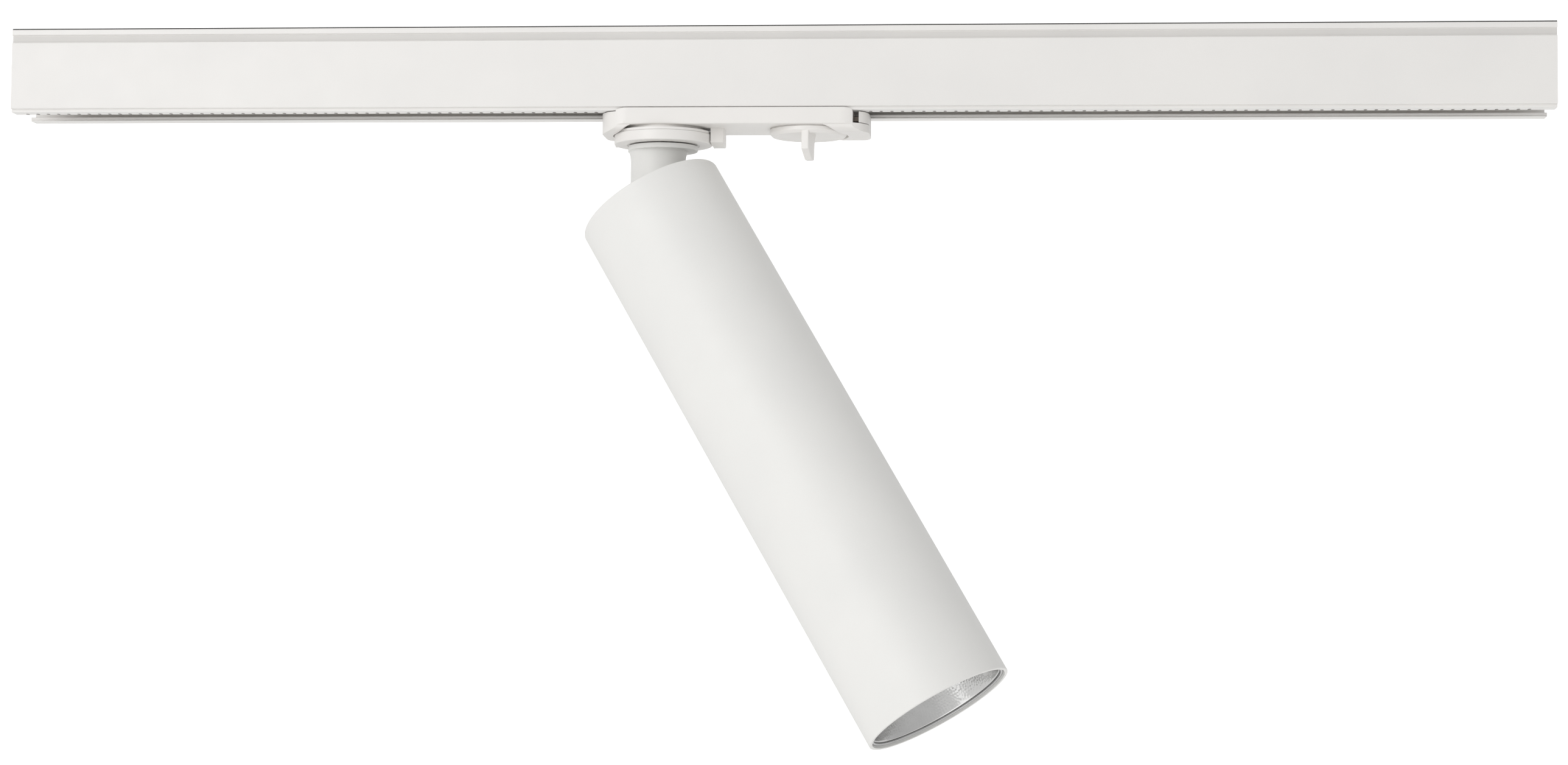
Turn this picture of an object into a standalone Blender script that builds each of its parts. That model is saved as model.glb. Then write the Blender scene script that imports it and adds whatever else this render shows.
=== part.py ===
"""Track spotlight: a cylindrical lamp head on a swivel and a tilt hinge, on a
plug-in adapter that slides in a three-circuit track.

Frame: metres, +Z up, +X along the track. The origin is on the swivel axis, in
the plane of the track's top face, which goes against the ceiling. The head's
mouth leans towards +X and a little towards -Y, which is its rest position.
Heights are measured from the bottom plane of the track's section; the root
frame lowers all of it by the track's height.

All dimensions are in millimetres and degrees. Cutting tools overrun the piece
wherever a cut is open, so their outer ends have no meaning of their own.
"""

import math

import bmesh
import bpy
from mathutils import Matrix, Vector

MM = 0.001

# ---- driving dimensions ----------------------------------------------------
GAP = 0.3                      # running and assembly clearance
SIDES = ((-1, "near"), (1, "far"))    # -Y and +Y

TRACK_X0, TRACK_X1 = -273.4, 365.0
TRACK_HALF, TRACK_H = 18.0, 35.0
LIP_OUT, LIP_IN = 16.6, 9.4    # lips, half widths
LIP_TOP = 1.5
SLOT_LOW, SLOT_HIGH = 11.4, 19.4      # centre heights of the conductor slots

PLATE_HALF = TRACK_HALF
PLATE_TOP, PLATE_BOT = -0.6, -6.05
DIAL_X, DIAL_R = 60.8, 16.2    # lever's disc
RING_R, RING_TOP, RING_BOT = 20.5, -8.5, -12.85
NIPPLE_R = 4.9

PAN = -22.4                    # direction of the lean
TILT = 32.66                   # head axis from the vertical
PIVOT_Z = -41.44
STEM_X = -2.4                  # stem axis from swivel axis, away from the lean
AXLE_R = 2.4
AXLE_BORE_R = AXLE_R + 0.35

# The head's own frame has z = 0 on the tilt pivot and +z to the closed end.
TUBE_R, TUBE_WALL, TUBE_L = 31.3, 1.4, 246.2
TUBE_IN = TUBE_R - TUBE_WALL
RIM_Z = 5.98
MOUTH_Z = RIM_Z - TUBE_L

# ---- surface finishes ------------------------------------------------------
WHITE_PAINT = dict(colour=(0.80, 0.79, 0.77), roughness=0.45)
WHITE_PLASTIC = dict(colour=(0.82, 0.81, 0.78), roughness=0.40)
GREY_PLASTIC = dict(colour=(0.45, 0.45, 0.44), roughness=0.55)
BLACK_PLASTIC = dict(colour=(0.03, 0.03, 0.03), roughness=0.50)
CERAMIC = dict(colour=(0.85, 0.82, 0.70), roughness=0.50)
RUBBER = dict(colour=(0.06, 0.06, 0.06), roughness=0.80)
STEEL = dict(colour=(0.55, 0.55, 0.54), roughness=0.30, metallic=1.0)
COPPER = dict(colour=(0.72, 0.40, 0.25), roughness=0.30, metallic=1.0)
BRASS = dict(colour=(0.75, 0.58, 0.30), roughness=0.30, metallic=1.0)
ALUMINIUM = dict(colour=(0.78, 0.78, 0.78), roughness=0.35, metallic=1.0)
MIRROR = dict(colour=(0.85, 0.85, 0.85), roughness=0.12, metallic=1.0)


def material(name, colour, roughness, metallic=0.0):
    mat = bpy.data.materials.new(name)
    mat.use_nodes = True
    shader = mat.node_tree.nodes["Principled BSDF"]
    shader.inputs["Base Color"].default_value = (*colour, 1.0)
    shader.inputs["Roughness"].default_value = roughness
    shader.inputs["Metallic"].default_value = metallic
    mat.diffuse_color = (*colour, 1.0)
    return mat


# ---- scene set-up ----------------------------------------------------------
for old in list(bpy.data.objects):
    bpy.data.objects.remove(old, do_unlink=True)

parts = bpy.data.collections.new("track_spotlight")
bpy.context.scene.collection.children.link(parts)


def new_object(name, data):
    obj = bpy.data.objects.new(name, data)
    parts.objects.link(obj)
    return obj


# ---- outlines: lists of flat points ----------------------------------------
def arc(x, y, radius, start, end, steps):
    points = []
    for i in range(steps + 1):
        angle = math.radians(start + (end - start) * i / steps)
        points.append((x + radius * math.cos(angle), y + radius * math.sin(angle)))
    return points


def circle(radius, count, x=0, y=0):
    return arc(x, y, radius, 0, 360 - 360 / count, count - 1)


def rounded_rect(x0, x1, y0, y1, radius, steps):
    points = []
    for x, y, start in ((x1 - radius, y0 + radius, -90), (x1 - radius, y1 - radius, 0),
                        (x0 + radius, y1 - radius, 90), (x0 + radius, y0 + radius, 180)):
        points += arc(x, y, radius, start, start + 90, steps)
    return points


def mirrored(points):
    return [(-y, z) for y, z in reversed(points)]


def on_side(side, points):
    """An outline drawn for +Y, or its mirror image for -Y."""
    return points if side > 0 else mirrored(points)


def span(side, a, b):
    """The (low, high) pair between two distances out on one side."""
    return sorted((side * a, side * b))


# ---- modelling tools -------------------------------------------------------
ALONG_X = Matrix(((0, 0, 1, 0), (1, 0, 0, 0), (0, 1, 0, 0), (0, 0, 0, 1)))


def shift(x=0, y=0, z=0):
    return Matrix.Translation((x * MM, y * MM, z * MM))


def rotation(degrees, axis):
    return Matrix.Rotation(math.radians(degrees), 4, axis)


def evaluated_mesh(obj):
    bpy.context.view_layer.update()
    graph = bpy.context.evaluated_depsgraph_get()
    return bpy.data.meshes.new_from_object(obj.evaluated_get(graph))


def bake(obj):
    """The object with its modifiers or its curve made into a plain mesh."""
    mesh = evaluated_mesh(obj)
    bm = bmesh.new()
    bm.from_mesh(mesh)
    bmesh.ops.remove_doubles(bm, verts=bm.verts, dist=2e-6)
    bmesh.ops.recalc_face_normals(bm, faces=bm.faces)
    bm.to_mesh(mesh)
    bm.free()
    name = obj.name
    bpy.data.objects.remove(obj, do_unlink=True)
    mesh.name = name
    return new_object(name, mesh)


def turned(name, profile, closed=False, steps=36):
    """A turned solid from (radius, height) points. An open profile starts and
    ends on the axis. A closed one makes a ring. The points are put in order
    down the outer side first."""
    loop = list(profile)
    area = 0.0
    for (r0, z0), (r1, z1) in zip(loop, loop[1:] + loop[:1]):
        area += r0 * z1 - r1 * z0
    if area > 0:
        loop.reverse()
    edges = [(i, i + 1) for i in range(len(loop) - 1)]
    if closed:
        edges.append((len(loop) - 1, 0))
    mesh = bpy.data.meshes.new(name)
    mesh.from_pydata([(r * MM, 0.0, z * MM) for r, z in loop], edges, [])
    obj = new_object(name, mesh)
    screw = obj.modifiers.new("turn", "SCREW")
    screw.angle = math.tau
    screw.steps = steps
    screw.render_steps = steps
    screw.use_merge_vertices = True
    screw.merge_threshold = 1e-6
    screw.use_smooth_shade = True
    return bake(obj)


def bevel_level(mesh, level, width, segments):
    """Rounds the outer edges of a prism that lie at one height."""
    bm = bmesh.new()
    bm.from_mesh(mesh)
    edges = []
    for edge in bm.edges:
        if all(abs(v.co.z - level * MM) < 1e-6 for v in edge.verts):
            walls = [face for face in edge.link_faces if abs(face.normal.z) < 0.5]
            if len(walls) == 1:
                edges.append(edge)
    bmesh.ops.bevel(bm, geom=edges, offset=width * MM, segments=segments,
                    profile=0.5, affect="EDGES", clamp_overlap=True)
    bm.to_mesh(mesh)
    bm.free()


def prism(name, loops, z0, z1, bevel_low=0.0, bevel_high=0.0, segments=2):
    """Outlines in the XY plane, made into a solid between two heights, with an
    optional rounding of its lower or upper edges. Inner loops are holes."""
    curve = bpy.data.curves.new(name, "CURVE")
    curve.dimensions = "2D"
    curve.fill_mode = "BOTH"
    curve.extrude = 0.5 * (z1 - z0) * MM
    for loop in loops:
        spline = curve.splines.new("POLY")
        spline.points.add(len(loop) - 1)
        for point, (x, y) in zip(spline.points, loop):
            point.co = (x * MM, y * MM, 0.0, 1.0)
        spline.use_cyclic_u = True
    obj = bake(new_object(name, curve))
    obj.data.transform(shift(z=0.5 * (z0 + z1)))
    for width, level in ((bevel_low, z0), (bevel_high, z1)):
        if width > 0:
            bevel_level(obj.data, level, width, segments)
    return obj


def prism_x(name, loops, x0, x1, **bevels):
    """A prism along X, from outlines in (Y, Z)."""
    obj = prism(name, loops, x0, x1, **bevels)
    obj.data.transform(ALONG_X)
    return obj


def prism_y(name, outline, y0, y1, **bevels):
    """A prism along Y, from an outline in (X, Z)."""
    obj = prism(name, [outline], -y1, -y0, **bevels)
    obj.data.transform(rotation(90, "X"))
    return obj


def box(name, x, y, z, bevel=0.0, segments=1):
    """A block between three (low, high) pairs, with all edges rounded."""
    bm = bmesh.new()
    bmesh.ops.create_cube(bm, size=1.0)
    size = [(high - low) * MM for low, high in (x, y, z)]
    middle = [0.5 * (low + high) * MM for low, high in (x, y, z)]
    bmesh.ops.scale(bm, vec=size, verts=bm.verts)
    bmesh.ops.translate(bm, vec=middle, verts=bm.verts)
    if bevel > 0:
        bmesh.ops.bevel(bm, geom=list(bm.edges), offset=bevel * MM,
                        segments=segments, profile=0.5, affect="EDGES")
    mesh = bpy.data.meshes.new(name)
    bm.to_mesh(mesh)
    bm.free()
    return new_object(name, mesh)


def rod(name, radius, start, end, centre=(0.0, 0.0), steps=24, axis="Z"):
    """A solid round bar between two positions on its axis. The centre is given
    in the two other coordinates."""
    obj = turned(name, [(0, end), (radius, end), (radius, start), (0, start)], steps=steps)
    a, b = centre
    if axis == "X":
        obj.data.transform(rotation(90, "Y"))
        obj.data.transform(shift(y=a, z=b))
    elif axis == "Y":
        obj.data.transform(rotation(-90, "X"))
        obj.data.transform(shift(x=a, z=b))
    else:
        obj.data.transform(shift(x=a, y=b))
    return obj


def wire(name, points, radius, resolution):
    """A round wire along a row of points."""
    curve = bpy.data.curves.new(name, "CURVE")
    curve.dimensions = "3D"
    curve.bevel_depth = radius * MM
    curve.bevel_resolution = resolution
    curve.use_fill_caps = True
    spline = curve.splines.new("POLY")
    spline.points.add(len(points) - 1)
    for point, place in zip(spline.points, points):
        point.co = (*(c * MM for c in place), 1.0)
    return bake(new_object(name, curve))


def boolean(target, tool, operation):
    """Applies the boolean now, so that the next step starts from a plain mesh,
    and removes the tool."""
    mod = target.modifiers.new("boolean", "BOOLEAN")
    mod.operation = operation
    mod.object = tool
    mod.solver = "EXACT"
    mesh = evaluated_mesh(target)
    target.modifiers.remove(mod)
    mesh.name = target.data.name
    target.data = mesh
    bpy.data.objects.remove(tool, do_unlink=True)


def cut(target, *tools):
    for tool in tools:
        boolean(target, tool, "DIFFERENCE")


def join(target, *tools):
    for tool in tools:
        boolean(target, tool, "UNION")


def smooth(obj, angle=32.0):
    for polygon in obj.data.polygons:
        polygon.use_smooth = True
    obj.data.set_sharp_from_angle(angle=math.radians(angle))
    return obj


def finish(obj, frame, surface):
    """Hangs a piece on its joint frame and gives it a material of its own."""
    obj.parent = frame
    obj.matrix_local = Matrix.Identity(4)
    obj.data.materials.clear()
    obj.data.materials.append(material(obj.name + "_finish", **surface))


# ---- joint frames ----------------------------------------------------------
def joint(name, matrix, parent=None):
    obj = new_object(name, None)
    obj.parent = parent
    obj.matrix_local = matrix
    return obj


root = joint("ceiling_plane", shift(z=-TRACK_H))
adapter_axis = joint("adapter_carriage", Matrix.Identity(4), root)
lever_axis = joint("lever_axis", shift(x=DIAL_X), adapter_axis)
swivel_axis = joint("swivel_axis", rotation(PAN, "Z"), adapter_axis)
tilt_axis = joint("tilt_axis", shift(x=STEM_X, z=PIVOT_Z) @ rotation(-TILT, "Y"), swivel_axis)

# ============================================================================
# Track
# ============================================================================
LIP_BOT, LIP_CHAMFER = -0.25, 0.25
LIP_STEP_Z = 1.15              # underside of the side walls
WALL_ROUND = 0.6               # lower outside corner
REBATE = 0.6                   # narrow rebate along both top edges
CHANNEL_HALF, CHANNEL_TOP = 15.6, 26.0
# groove along each side face: (depth, z)
SIDE_GROOVE = ((0.0, 28.9), (0.25, 29.05), (0.8, 29.05), (0.8, 32.1), (0.25, 32.1), (0.0, 32.25))
DUCT_HALF, DUCT_Z0, DUCT_Z1, DUCT_R = 11.5, 28.4, 32.6, 0.8
FIXING_HOLES_X, FIXING_HOLE_R = (-200.0, 290.0), 2.4

LINER_END = 2.5                # liner stops short of the track's ends
LINER_IN, LINER_OUT = 9.2, CHANNEL_HALF - GAP
LINER_Z0, LINER_Z1 = 7.2, 25.6
SLOT_HALF, SLOT_BACK = 1.9, 14.6

BAR_X = (TRACK_X0 + 4.5, TRACK_X1 - 4.5)
BAR_OUT, BAR_T, BAR_HALF = SLOT_BACK - 0.15, 1.6, 1.3
EARTH_BAR_Y = (-15.2, -10.2)


def track_outline():
    """Section of the extrusion in (Y, Z), +Y half first, then mirrored, then
    the channel."""
    right = [(LIP_IN, LIP_BOT + LIP_CHAMFER), (LIP_IN + LIP_CHAMFER, LIP_BOT),
             (LIP_OUT - LIP_CHAMFER, LIP_BOT), (LIP_OUT, LIP_BOT + LIP_CHAMFER),
             (LIP_OUT, LIP_STEP_Z)]
    right += arc(TRACK_HALF - WALL_ROUND, LIP_STEP_Z + WALL_ROUND, WALL_ROUND, -90, 0, 4)
    right += [(TRACK_HALF - depth, z) for depth, z in SIDE_GROOVE]
    right += [(TRACK_HALF, TRACK_H - REBATE), (TRACK_HALF - REBATE, TRACK_H - REBATE),
              (TRACK_HALF - REBATE, TRACK_H)]
    channel = [(CHANNEL_HALF, CHANNEL_TOP), (CHANNEL_HALF, LIP_TOP), (LIP_IN, LIP_TOP)]
    return right + mirrored(right) + mirrored(channel) + channel


def build_track():
    duct = rounded_rect(-DUCT_HALF, DUCT_HALF, DUCT_Z0, DUCT_Z1, DUCT_R, 1)
    duct.reverse()
    track = prism_x("track_extrusion", [track_outline(), duct], TRACK_X0, TRACK_X1)
    for x in FIXING_HOLES_X:
        cut(track, rod("fixing_hole", FIXING_HOLE_R, 24.0, 37.0, (x, 0), 20))
    finish(track, root, WHITE_PAINT)


def build_liners():
    """Insulating liners, each with two slots that open towards the middle."""
    section = [(LINER_IN, LINER_Z0), (LINER_OUT, LINER_Z0), (LINER_OUT, LINER_Z1),
               (LINER_IN, LINER_Z1)]
    for z in (SLOT_HIGH, SLOT_LOW):
        section += [(LINER_IN, z + SLOT_HALF), (SLOT_BACK, z + SLOT_HALF),
                    (SLOT_BACK, z - SLOT_HALF), (LINER_IN, z - SLOT_HALF)]
    for side, label in SIDES:
        liner = prism_x("insulating_liner_" + label, [on_side(side, section)],
                        TRACK_X0 + LINER_END, TRACK_X1 - LINER_END)
        finish(liner, root, GREY_PLASTIC)


def build_conductors():
    for label, side, z in (("phase_1", -1, SLOT_LOW), ("phase_2", -1, SLOT_HIGH),
                           ("phase_3", 1, SLOT_HIGH), ("neutral", 1, SLOT_LOW)):
        bar = box("conductor_" + label, BAR_X, span(side, BAR_OUT, BAR_OUT - BAR_T),
                  (z - BAR_HALF, z + BAR_HALF), bevel=0.2)
        finish(bar, root, COPPER)
    # earth strip, on the -Y lip
    bar = box("conductor_earth", BAR_X, EARTH_BAR_Y, (LIP_TOP + GAP, LIP_TOP + 0.9), bevel=0.15)
    finish(bar, root, COPPER)


# ============================================================================
# Adapter base
# ============================================================================
PLATE_X0, PLATE_X1 = -24.7, 86.5
PLATE_R, PLATE_STEPS = 11.6, 10      # corners in plan, and their facets
RIM_TOP = 0.85
SEAT_R, SEAT_Z = 17.0, -8.15   # swivel seat
END_Z = -9.0                   # underside of the deeper ends
LAND_TOP = -4.4                # height up to which the ends are modelled
RING_ROOM_R = RING_R + 0.5
HUB_BORE_R = 6.1               # for the lever's hub
STOP_X, STOP_HALF, STOP_Z = 25.9, 5.4, -13.5     # stop block: +X face, half width, underside
STOP_ARC = 14.9                # half angle of its hollow face

LATCH_BOT = -5.25
LATCH_RECESS_X, LATCH_X = 80.0, 82.45
LATCH_SLOT_Y, LATCH_SLOT_Z = (-9.3, 9.3), (-4.6, -1.5)

CUT_X, CUT_Y = (-60.0, 120.0), (-26.0, 26.0)     # tools right along or across the adapter

# slope of the rim's ends: (distance outwards from where the corner starts, z)
RIM_SLOPE = ((0.0, RIM_TOP + 0.6), (0.0, RIM_TOP), (3.4, 0.4), (5.1, 0.0), (5.1, PLATE_TOP),
             (40.0, PLATE_TOP), (40.0, RIM_TOP + 0.6))
# underside falling from the flat middle to an end: (distance outwards, z)
FALL = ((-3.4, LAND_TOP + 0.2), (0.0, PLATE_BOT), (1.5, PLATE_BOT - 0.75),
        (3.2, PLATE_BOT - 1.8), (5.4, END_Z + 0.25), (7.6, END_Z))
# deeper ends: start of the fall, outward direction, rise over the last 52.4 mm
# of the fall's tool, then axis and radius of the room for the disc beside it
LANDS = ((-11.3, -1, 0.0, 0.0, RING_ROOM_R),
         (67.3, 1, 0.9, DIAL_X, DIAL_R + 0.45))
# cut along the +Y lower edge, in (Y, Z): small round under the side face,
# broad round under the deeper ends
EDGE_ROUND = [(30.0, -5.3), (30.0, -20.0), (11.6, -20.0), (11.6, -9.02), (13.6, -8.7),
              (15.2, -8.0), (16.3, -7.1), (PLATE_HALF - 0.9, PLATE_BOT),
              (PLATE_HALF - 0.2, -5.75), (PLATE_HALF + 0.01, -5.3)]
# cut along the +Y lower edge of the stop block, in (Y, Z)
STOP_CHAMFER = [(6.0, -12.0), (6.0, -14.0), (3.0, -14.0), (2.9, STOP_Z), (5.6, -12.0)]


def plate_prism(name, z0, z1, **bevels):
    outline = rounded_rect(PLATE_X0, PLATE_X1, -PLATE_HALF, PLATE_HALF, PLATE_R, PLATE_STEPS)
    return prism(name, [outline], z0, z1, **bevels)


def deeper_end(start, way, rise, disc_x, disc_room):
    land = plate_prism("land", END_Z - 0.6, LAND_TOP)
    outline = [(start + way * x, z) for x, z in FALL]
    outline += [(start + way * 60.0, END_Z + rise), (start + way * 60.0, -20.0),
                (start - way * 200.0, -20.0), (start - way * 200.0, LAND_TOP + 0.2)]
    if way > 0:
        outline.reverse()
    cut(land, prism_y("fall", outline, *CUT_Y),
        rod("room", disc_room, -20.0, 0.0, (disc_x, 0), 64))
    return land


def stop_block():
    """Block on the +X side of the swivel ring, hollowed round the ring."""
    hollow = arc(0, 0, RING_ROOM_R, -STOP_ARC, STOP_ARC, 6)
    outline = [(STOP_X, STOP_HALF), *reversed(hollow), (STOP_X, -STOP_HALF)]
    block = prism("stop_block", [outline], STOP_Z, -3.2)
    for side in (-1, 1):
        cut(block, prism_x("stop_chamfer", [on_side(side, STOP_CHAMFER)], 10.0, 40.0))
    return block


def build_base():
    base = plate_prism("adapter_base", PLATE_BOT, RIM_TOP)
    # room for the track's lips, leaving a rim along each side
    cut(base, box("lip_room", CUT_X, (-LIP_OUT - GAP, LIP_OUT + GAP), (PLATE_TOP, 9)))
    for way, start in ((-1, PLATE_X0 + PLATE_R), (1, PLATE_X1 - PLATE_R)):
        outline = [(start + way * x, z) for x, z in RIM_SLOPE]
        if way > 0:
            outline.reverse()
        cut(base, prism_y("rim_end", outline, *CUT_Y))
    for land in LANDS:
        join(base, deeper_end(*land))
    for side in (-1, 1):
        cut(base, prism_x("edge_round", [on_side(side, EDGE_ROUND)], *CUT_X))
    join(base, rod("seat", SEAT_R, SEAT_Z, -3.0, steps=48))
    join(base, stop_block())
    # bores, then the latch's recess and pocket
    cut(base, rod("nipple_bore", NIPPLE_R + 0.4, -10, 2),
        rod("hub_bore", HUB_BORE_R, -10, 2, (DIAL_X, 0)),
        box("latch_recess", (LATCH_RECESS_X, 95.0), CUT_Y, (LATCH_BOT - GAP, 5)),
        box("latch_pocket", (69.6, 85.0), LATCH_SLOT_Y, LATCH_SLOT_Z))
    finish(smooth(base), adapter_axis, WHITE_PLASTIC)


# ============================================================================
# Adapter core, contacts and latch
# ============================================================================
CORE_X0, CORE_X1, CORE_HALF = -21.0, 79.0, 8.6
CORE_BOT, CORE_TOP = -0.3, 24.4
CORE_R, CORE_WALL = 3.0, 1.5   # plan corner and wall
CAVITY_X1, CAVITY_R = 42.0, 1.8
CAM_WINDOW_X, CAM_WINDOW_Z = (45.0, 76.6), (2.45, 6.8)
CAM_BEARING_R = 3.9
EARTH_WINDOW_X, EARTH_WINDOW_Z = (25.6, 36.4), (2.3, 3.9)

# name, side, height, x
CONTACTS = (("contact_phase_1", -1, SLOT_LOW, -4.0), ("contact_phase_2", -1, SLOT_HIGH, 12.0),
            ("contact_phase_3", 1, SLOT_HIGH, 12.0), ("contact_neutral", 1, SLOT_LOW, -4.0))
CONTACT_HALF, CONTACT_HALF_T = 4.0, 0.45
CONTACT_IN, CONTACT_OUT, CONTACT_BULGE = 4.9, 10.9, 1.3
CONTACT_STEPS = 8              # facets of the rounded tip
CONTACT_CLEAR = 0.4            # round the blade in its window
TAB_T, TAB_DROP = 1.0, 4.0

EARTH_OUTLINE = [(26.0, -5.2), (26.0, -10.2), (28.0, -11.6), (34.0, -11.6), (36.0, -10.2),
                 (36.0, -5.2)]     # (x, y)
EARTH_Z = (2.7, 3.5)
EARTH_TAB = ((26.0, 36.0), (-6.0, -5.2), (2.7, 7.2))

TERMINAL_BLOCK = ((20.5, 39.5), (-4.4, 6.6), (7.5, 17.4))
ENTRY_R, ENTRY_Y0, ENTRY_PITCH, ENTRY_Z = 1.5, -2.2, 3.3, 12.4

LATCH_PLATE = ((76.0, 84.3), (-9.0, 9.0), (-4.2, -1.9))
SPRING_X, SPRING_Z = 70.3, -3.05
SPRING_R, SPRING_PITCH, SPRING_WIRE_R = 0.95, 0.62, 0.2
SPRING_TURNS, SPRING_STEPS = 5, 8


def build_core():
    """The core that plugs into the channel."""
    outline = rounded_rect(CORE_X0, CORE_X1, -CORE_HALF, CORE_HALF, CORE_R, 5)
    core = prism("adapter_core", [outline], CORE_BOT, CORE_TOP, bevel_high=0.8)
    inner_half = CORE_HALF - CORE_WALL
    cavity = rounded_rect(CORE_X0 + CORE_WALL, CAVITY_X1, -inner_half, inner_half, CAVITY_R, 4)
    cut(core, prism("core_cavity", [cavity], -1.0, CORE_TOP - CORE_WALL),
        box("cam_window", CAM_WINDOW_X, (-12, 12), CAM_WINDOW_Z),
        rod("core_hub_bore", HUB_BORE_R, -1.0, 3.0, (DIAL_X, 0)),
        rod("cam_bearing_bore", CAM_BEARING_R, 6.0, 16.0, (DIAL_X, 0)))
    half_x = CONTACT_HALF + CONTACT_CLEAR
    half_z = CONTACT_HALF_T + CONTACT_CLEAR
    for _, side, z, x in CONTACTS:
        cut(core, box("contact_window", (x - half_x, x + half_x), span(side, 6.0, 11.0),
                      (z - half_z, z + half_z)))
    cut(core, box("earth_window", EARTH_WINDOW_X, (-11.0, -6.0), EARTH_WINDOW_Z))
    finish(smooth(core), adapter_axis, BLACK_PLASTIC)


def build_contact(label, side, z, x):
    """Blade with a rounded tip, and a tab bent down along the inside of the wall."""
    x0, x1 = x - CONTACT_HALF, x + CONTACT_HALF
    outline = [(x0, side * CONTACT_IN)]
    for i in range(CONTACT_STEPS + 1):
        bulge = CONTACT_BULGE * math.sin(math.pi * i / CONTACT_STEPS)
        outline.append((x0 + 2 * CONTACT_HALF * i / CONTACT_STEPS, side * (CONTACT_OUT + bulge)))
    outline.append((x1, side * CONTACT_IN))
    if side > 0:
        outline.reverse()
    blade = prism(label, [outline], z - CONTACT_HALF_T, z + CONTACT_HALF_T)
    join(blade, box("tab", (x0, x1), span(side, CONTACT_IN, CONTACT_IN + TAB_T),
                    (z - TAB_DROP, z + CONTACT_HALF_T)))
    finish(blade, adapter_axis, COPPER)


def build_earth_contact():
    earth = prism("earth_contact", [EARTH_OUTLINE], *EARTH_Z)
    join(earth, box("tab", *EARTH_TAB))
    finish(earth, adapter_axis, BRASS)


def build_terminal_block():
    block = box("terminal_block", *TERMINAL_BLOCK, bevel=0.6, segments=2)
    for i in range(3):
        centre = (ENTRY_Y0 + ENTRY_PITCH * i, ENTRY_Z)
        cut(block, rod("wire_entry", ENTRY_R, 12.0, 45.0, centre, 16, "X"))
    finish(smooth(block), adapter_axis, WHITE_PLASTIC)


def build_latch():
    """Release latch at the adapter's +X end, its plate and its spring."""
    latch = plate_prism("release_latch", LATCH_BOT, PLATE_TOP, bevel_high=0.3)
    boolean(latch, box("latch_end", (LATCH_X, 95.0), CUT_Y, (-9, 5)), "INTERSECT")
    cut(latch, box("plate_slot", (LATCH_RECESS_X, 84.6), LATCH_SLOT_Y, LATCH_SLOT_Z))
    finish(smooth(latch), adapter_axis, WHITE_PLASTIC)
    finish(box("latch_plate", *LATCH_PLATE, bevel=0.25), adapter_axis, STEEL)
    points = []
    for i in range(SPRING_TURNS * SPRING_STEPS + 1):
        angle = math.tau * i / SPRING_STEPS
        points.append((SPRING_X + SPRING_PITCH * i / SPRING_STEPS, SPRING_R * math.cos(angle),
                       SPRING_R * math.sin(angle) + SPRING_Z))
    finish(wire("latch_spring", points, SPRING_WIRE_R, 1), adapter_axis, STEEL)


# ============================================================================
# Lever, in its own frame
# ============================================================================
DIAL_TOP, DIAL_BOT = -6.4, -9.4
HUB_R, HUB_TOP = 5.7, 2.1
# dial and hub: (radius, z)
DIAL_PROFILE = [(0, HUB_TOP), (HUB_R, HUB_TOP), (HUB_R, DIAL_TOP), (DIAL_R - 0.4, DIAL_TOP),
                (DIAL_R, DIAL_TOP - 0.4), (DIAL_R, -8.1), (DIAL_R - 0.25, -8.5),
                (DIAL_R - 1.2, DIAL_BOT), (DIAL_R - 1.9, DIAL_BOT), (DIAL_R - 3.4, -8.95),
                (0, -8.8)]
# finger blade below the dial: (y from its outer edge, z)
FINGER_OUTLINE = [(0.0, -7.6), (0.0, -15.9), (0.4, -16.6), (6.0, -19.8), (6.8, -20.1),
                  (9.4, -20.1), (10.0, -19.6), (10.4, -14.0), (11.2, -10.6), (13.0, -7.6)]
FINGER_T, FINGER_TURN = 3.2, -10.0
FINGER_X, FINGER_Y = -0.45, -15.9
KEY_R, KEY_CLEAR = 2.3, 0.3
CAM_R, CAM_HALF_ANGLE, CAM_Z = 14.6, 27, (2.85, 6.4)
CAM_SHAFT_R = 3.5


def build_lever():
    dial = turned("lock_lever", DIAL_PROFILE)
    finger = prism_x("finger", [FINGER_OUTLINE], -FINGER_T / 2, FINGER_T / 2,
                     bevel_low=0.5, bevel_high=0.5)
    finger.data.transform(shift(FINGER_X, FINGER_Y) @ rotation(FINGER_TURN, "Z"))
    join(dial, finger)
    cut(dial, rod("key_bore", KEY_R + KEY_CLEAR, -4.0, 3.0))
    finish(smooth(dial), lever_axis, WHITE_PLASTIC)


def build_cam():
    """Two opposite sectors on a shaft, with a round key down into the lever."""
    outline = []
    for middle in (90, 270):
        outline += arc(0, 0, CAM_R, middle - CAM_HALF_ANGLE, middle + CAM_HALF_ANGLE, 8)
    cam = prism("locking_cam", [outline], *CAM_Z, bevel_high=0.4, segments=1)
    join(cam, rod("cam_shaft", CAM_SHAFT_R, 5.0, 13.5), rod("cam_key", KEY_R, -3.6, 3.5))
    finish(smooth(cam), lever_axis, STEEL)


# ============================================================================
# Swivel, in its own frame: +X is the direction of the lean
# ============================================================================
RING_SIDE = -12.7
WASHER_POCKET_Z = RING_TOP - 1.4
# ring: (radius, z)
RING_PROFILE = [(5.3, WASHER_POCKET_Z), (11.6, WASHER_POCKET_Z), (11.6, RING_TOP),
                (12.3, RING_TOP), (12.3, WASHER_POCKET_Z), (17.8, WASHER_POCKET_Z),
                (17.8, RING_TOP), (RING_R - 0.35, RING_TOP), (RING_R, RING_TOP - 0.35),
                (RING_R, RING_SIDE + 0.5), (RING_R - 0.15, RING_SIDE + 0.15),
                (RING_R - 0.6, RING_SIDE), (15.2, RING_BOT), (5.3, RING_BOT)]
NOTCH, NOTCH_TURN = ((12.8, 15.4), (-2.3, 2.3), (-14.0, -12.35)), -54.4
RIB_R0, RIB_R1, RIB_HALF, RIB_Z = 19.4, 22.8, 0.9, (-12.2, -9.4)
THRUST_R0, THRUST_R1 = 12.6, 17.5    # thrust washer
THRUST_Z0, THRUST_Z1 = RING_TOP - 1.1, RING_TOP + 0.05

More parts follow.
